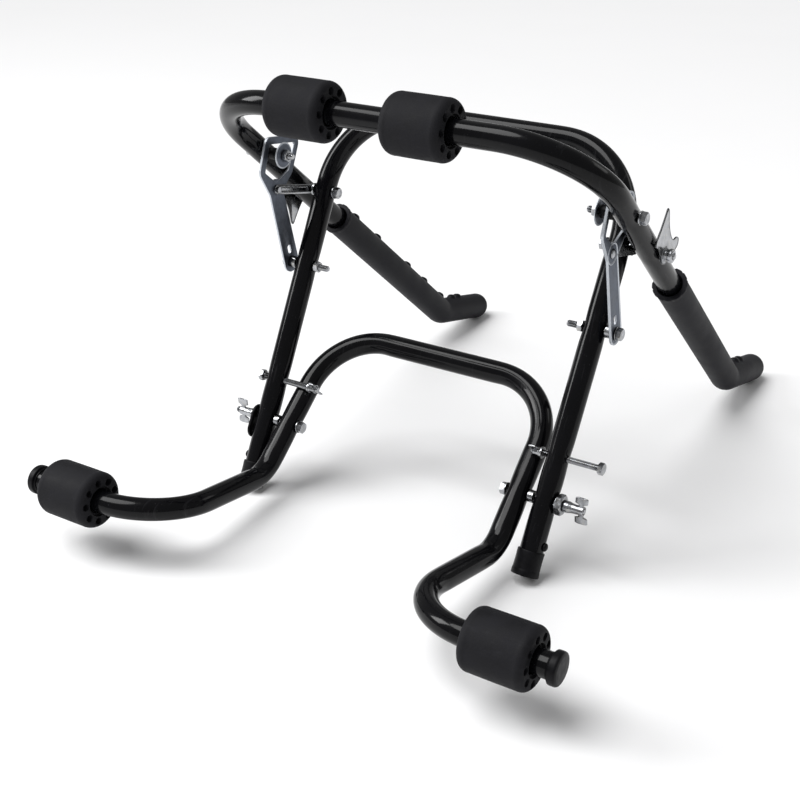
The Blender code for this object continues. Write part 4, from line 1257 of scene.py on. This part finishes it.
class CARRIER_OT_wings(bpy.types.Operator):
    """Build the wing nuts and clamp levers"""

    bl_idname = "carrier.wings"
    bl_label = "Wing Nuts and Levers"

    def execute(self, context):
        for side in SIDES:
            stop = node_span(f"stop_bolt_{side}")[2]
            wing_nut_piece(f"pivot_wing_nut_{side}", side, True, PIVOT, pi / 2)
            spin = pi / 2 - (pi / 2 - FOOT_LEAN) * SIDES[side]
            wing_nut_piece(f"stop_wing_nut_{side}", side, False, stop, spin)
            lever_piece(side)
        return {"FINISHED"}


class CARRIER_OT_studio(bpy.types.Operator):
    """Set up the floor, the soft lights and the camera"""

    bl_idname = "carrier.studio"
    bl_label = "Studio"

    def execute(self, context):
        scene = context.scene
        floor_mesh = bpy.data.meshes.new("floor")
        span = FLOOR_HALF
        corners = [(-span, -span, 0), (span, -span, 0), (span, span, 0), (-span, span, 0)]
        floor_mesh.from_pydata(corners, [], [(0, 1, 2, 3)])
        floor_mesh.materials.append(floor_finish(tuple(scene.carrier_finishes.floor)))
        floor = bpy.data.objects.new("floor", floor_mesh)
        scene.collection.objects.link(floor)
        world_light = bpy.data.worlds.new("studio")
        world_light.use_nodes = True
        background = world_light.node_tree.nodes["Background"]
        background.inputs["Color"].default_value = (1, 1, 1, 1)
        background.inputs["Strength"].default_value = SKY_STRENGTH
        scene.world = world_light
        sun = bpy.data.lights.new("key", "SUN")
        sun.energy, sun.angle = KEY_STRENGTH, KEY_ANGLE
        key = bpy.data.objects.new("key", sun)
        key.matrix_world = Vector(KEY_FROM).to_track_quat("Z", "Y").to_matrix().to_4x4()
        scene.collection.objects.link(key)
        for name, place, size, power in SOFT_LIGHTS:
            soft_light(name, place, LIGHT_AIM, size, power)
        scene.view_settings.view_transform = "Standard"
        camera_data = bpy.data.cameras.new("camera")
        camera_data.sensor_width = 36.0
        camera_data.lens = CAMERA_LENS
        camera_data.clip_start, camera_data.clip_end = 0.05, 60.0
        camera = bpy.data.objects.new("camera", camera_data)
        camera.matrix_world = camera_matrix(CAMERA_PLACE, CAMERA_FORWARD, CAMERA_UP)
        scene.collection.objects.link(camera)
        scene.camera = camera
        return {"FINISHED"}


def camera_matrix(place, forward, up):
    """Matrix that looks along forward with up as near to the given direction as it can be."""
    back = -Vector(forward).normalized()
    right = Vector(up).cross(back).normalized()
    over = back.cross(right)
    return Matrix.Translation(place) @ Matrix((right, over, back)).transposed().to_4x4()


def soft_light(name, place, aim, size, power):
    """Rectangular area light at a place, aimed at a point."""
    light = bpy.data.lights.new(name, "AREA")
    light.shape = "RECTANGLE"
    light.size, light.size_y = size
    light.energy = power
    made = bpy.data.objects.new(name, light)
    bpy.context.scene.collection.objects.link(made)
    back = Vector(place) - Vector(aim)
    made.matrix_world = Matrix.Translation(place) @ back.to_track_quat("Z", "Y").to_matrix().to_4x4()


def floor_finish(colour):
    """Plain pale studio floor with the faintest unevenness."""
    f = Finish("floor", colour, 0.7, Specular_IOR_Level=0.2)
    cloud = f.noise(0.4, 3)
    f.use("Base Color", f.tint(f.cloudy(cloud), shade(colour, 0.992), colour))
    return f.material


class CARRIER_PT_panel(bpy.types.Panel):
    """Buttons and settings of the carrier"""

    bl_idname = "CARRIER_PT_panel"
    bl_label = "Bicycle Carrier"
    bl_space_type = "VIEW_3D"
    bl_region_type = "UI"
    bl_category = "Carrier"

    def draw(self, context):
        for settings in (context.scene.carrier_sizes, context.scene.carrier_finishes):
            box = self.layout.box()
            for name in settings.__annotations__:
                box.prop(settings, name)
        for operator in OPERATORS:
            self.layout.operator(operator.bl_idname)


OPERATORS = (
    CARRIER_OT_tubes,
    CARRIER_OT_grips,
    CARRIER_OT_rollers,
    CARRIER_OT_caps,
    CARRIER_OT_brackets,
    CARRIER_OT_bolts,
    CARRIER_OT_wings,
    CARRIER_OT_studio,
)
CLASSES = (CarrierSizes, CarrierFinishes, *OPERATORS, CARRIER_PT_panel)


def register():
    for cls in CLASSES:
        bpy.utils.register_class(cls)
    bpy.types.Scene.carrier_sizes = bpy.props.PointerProperty(type=CarrierSizes)
    bpy.types.Scene.carrier_finishes = bpy.props.PointerProperty(type=CarrierFinishes)


def unregister():
    del bpy.types.Scene.carrier_finishes
    del bpy.types.Scene.carrier_sizes
    for cls in reversed(CLASSES):
        bpy.utils.unregister_class(cls)


def main():
    register()
    bpy.ops.carrier.tubes()
    bpy.ops.carrier.grips()
    bpy.ops.carrier.rollers()
    bpy.ops.carrier.caps()
    bpy.ops.carrier.brackets()
    bpy.ops.carrier.bolts()
    bpy.ops.carrier.wings()
    bpy.ops.carrier.studio()


if __name__ == "__main__":
    main()
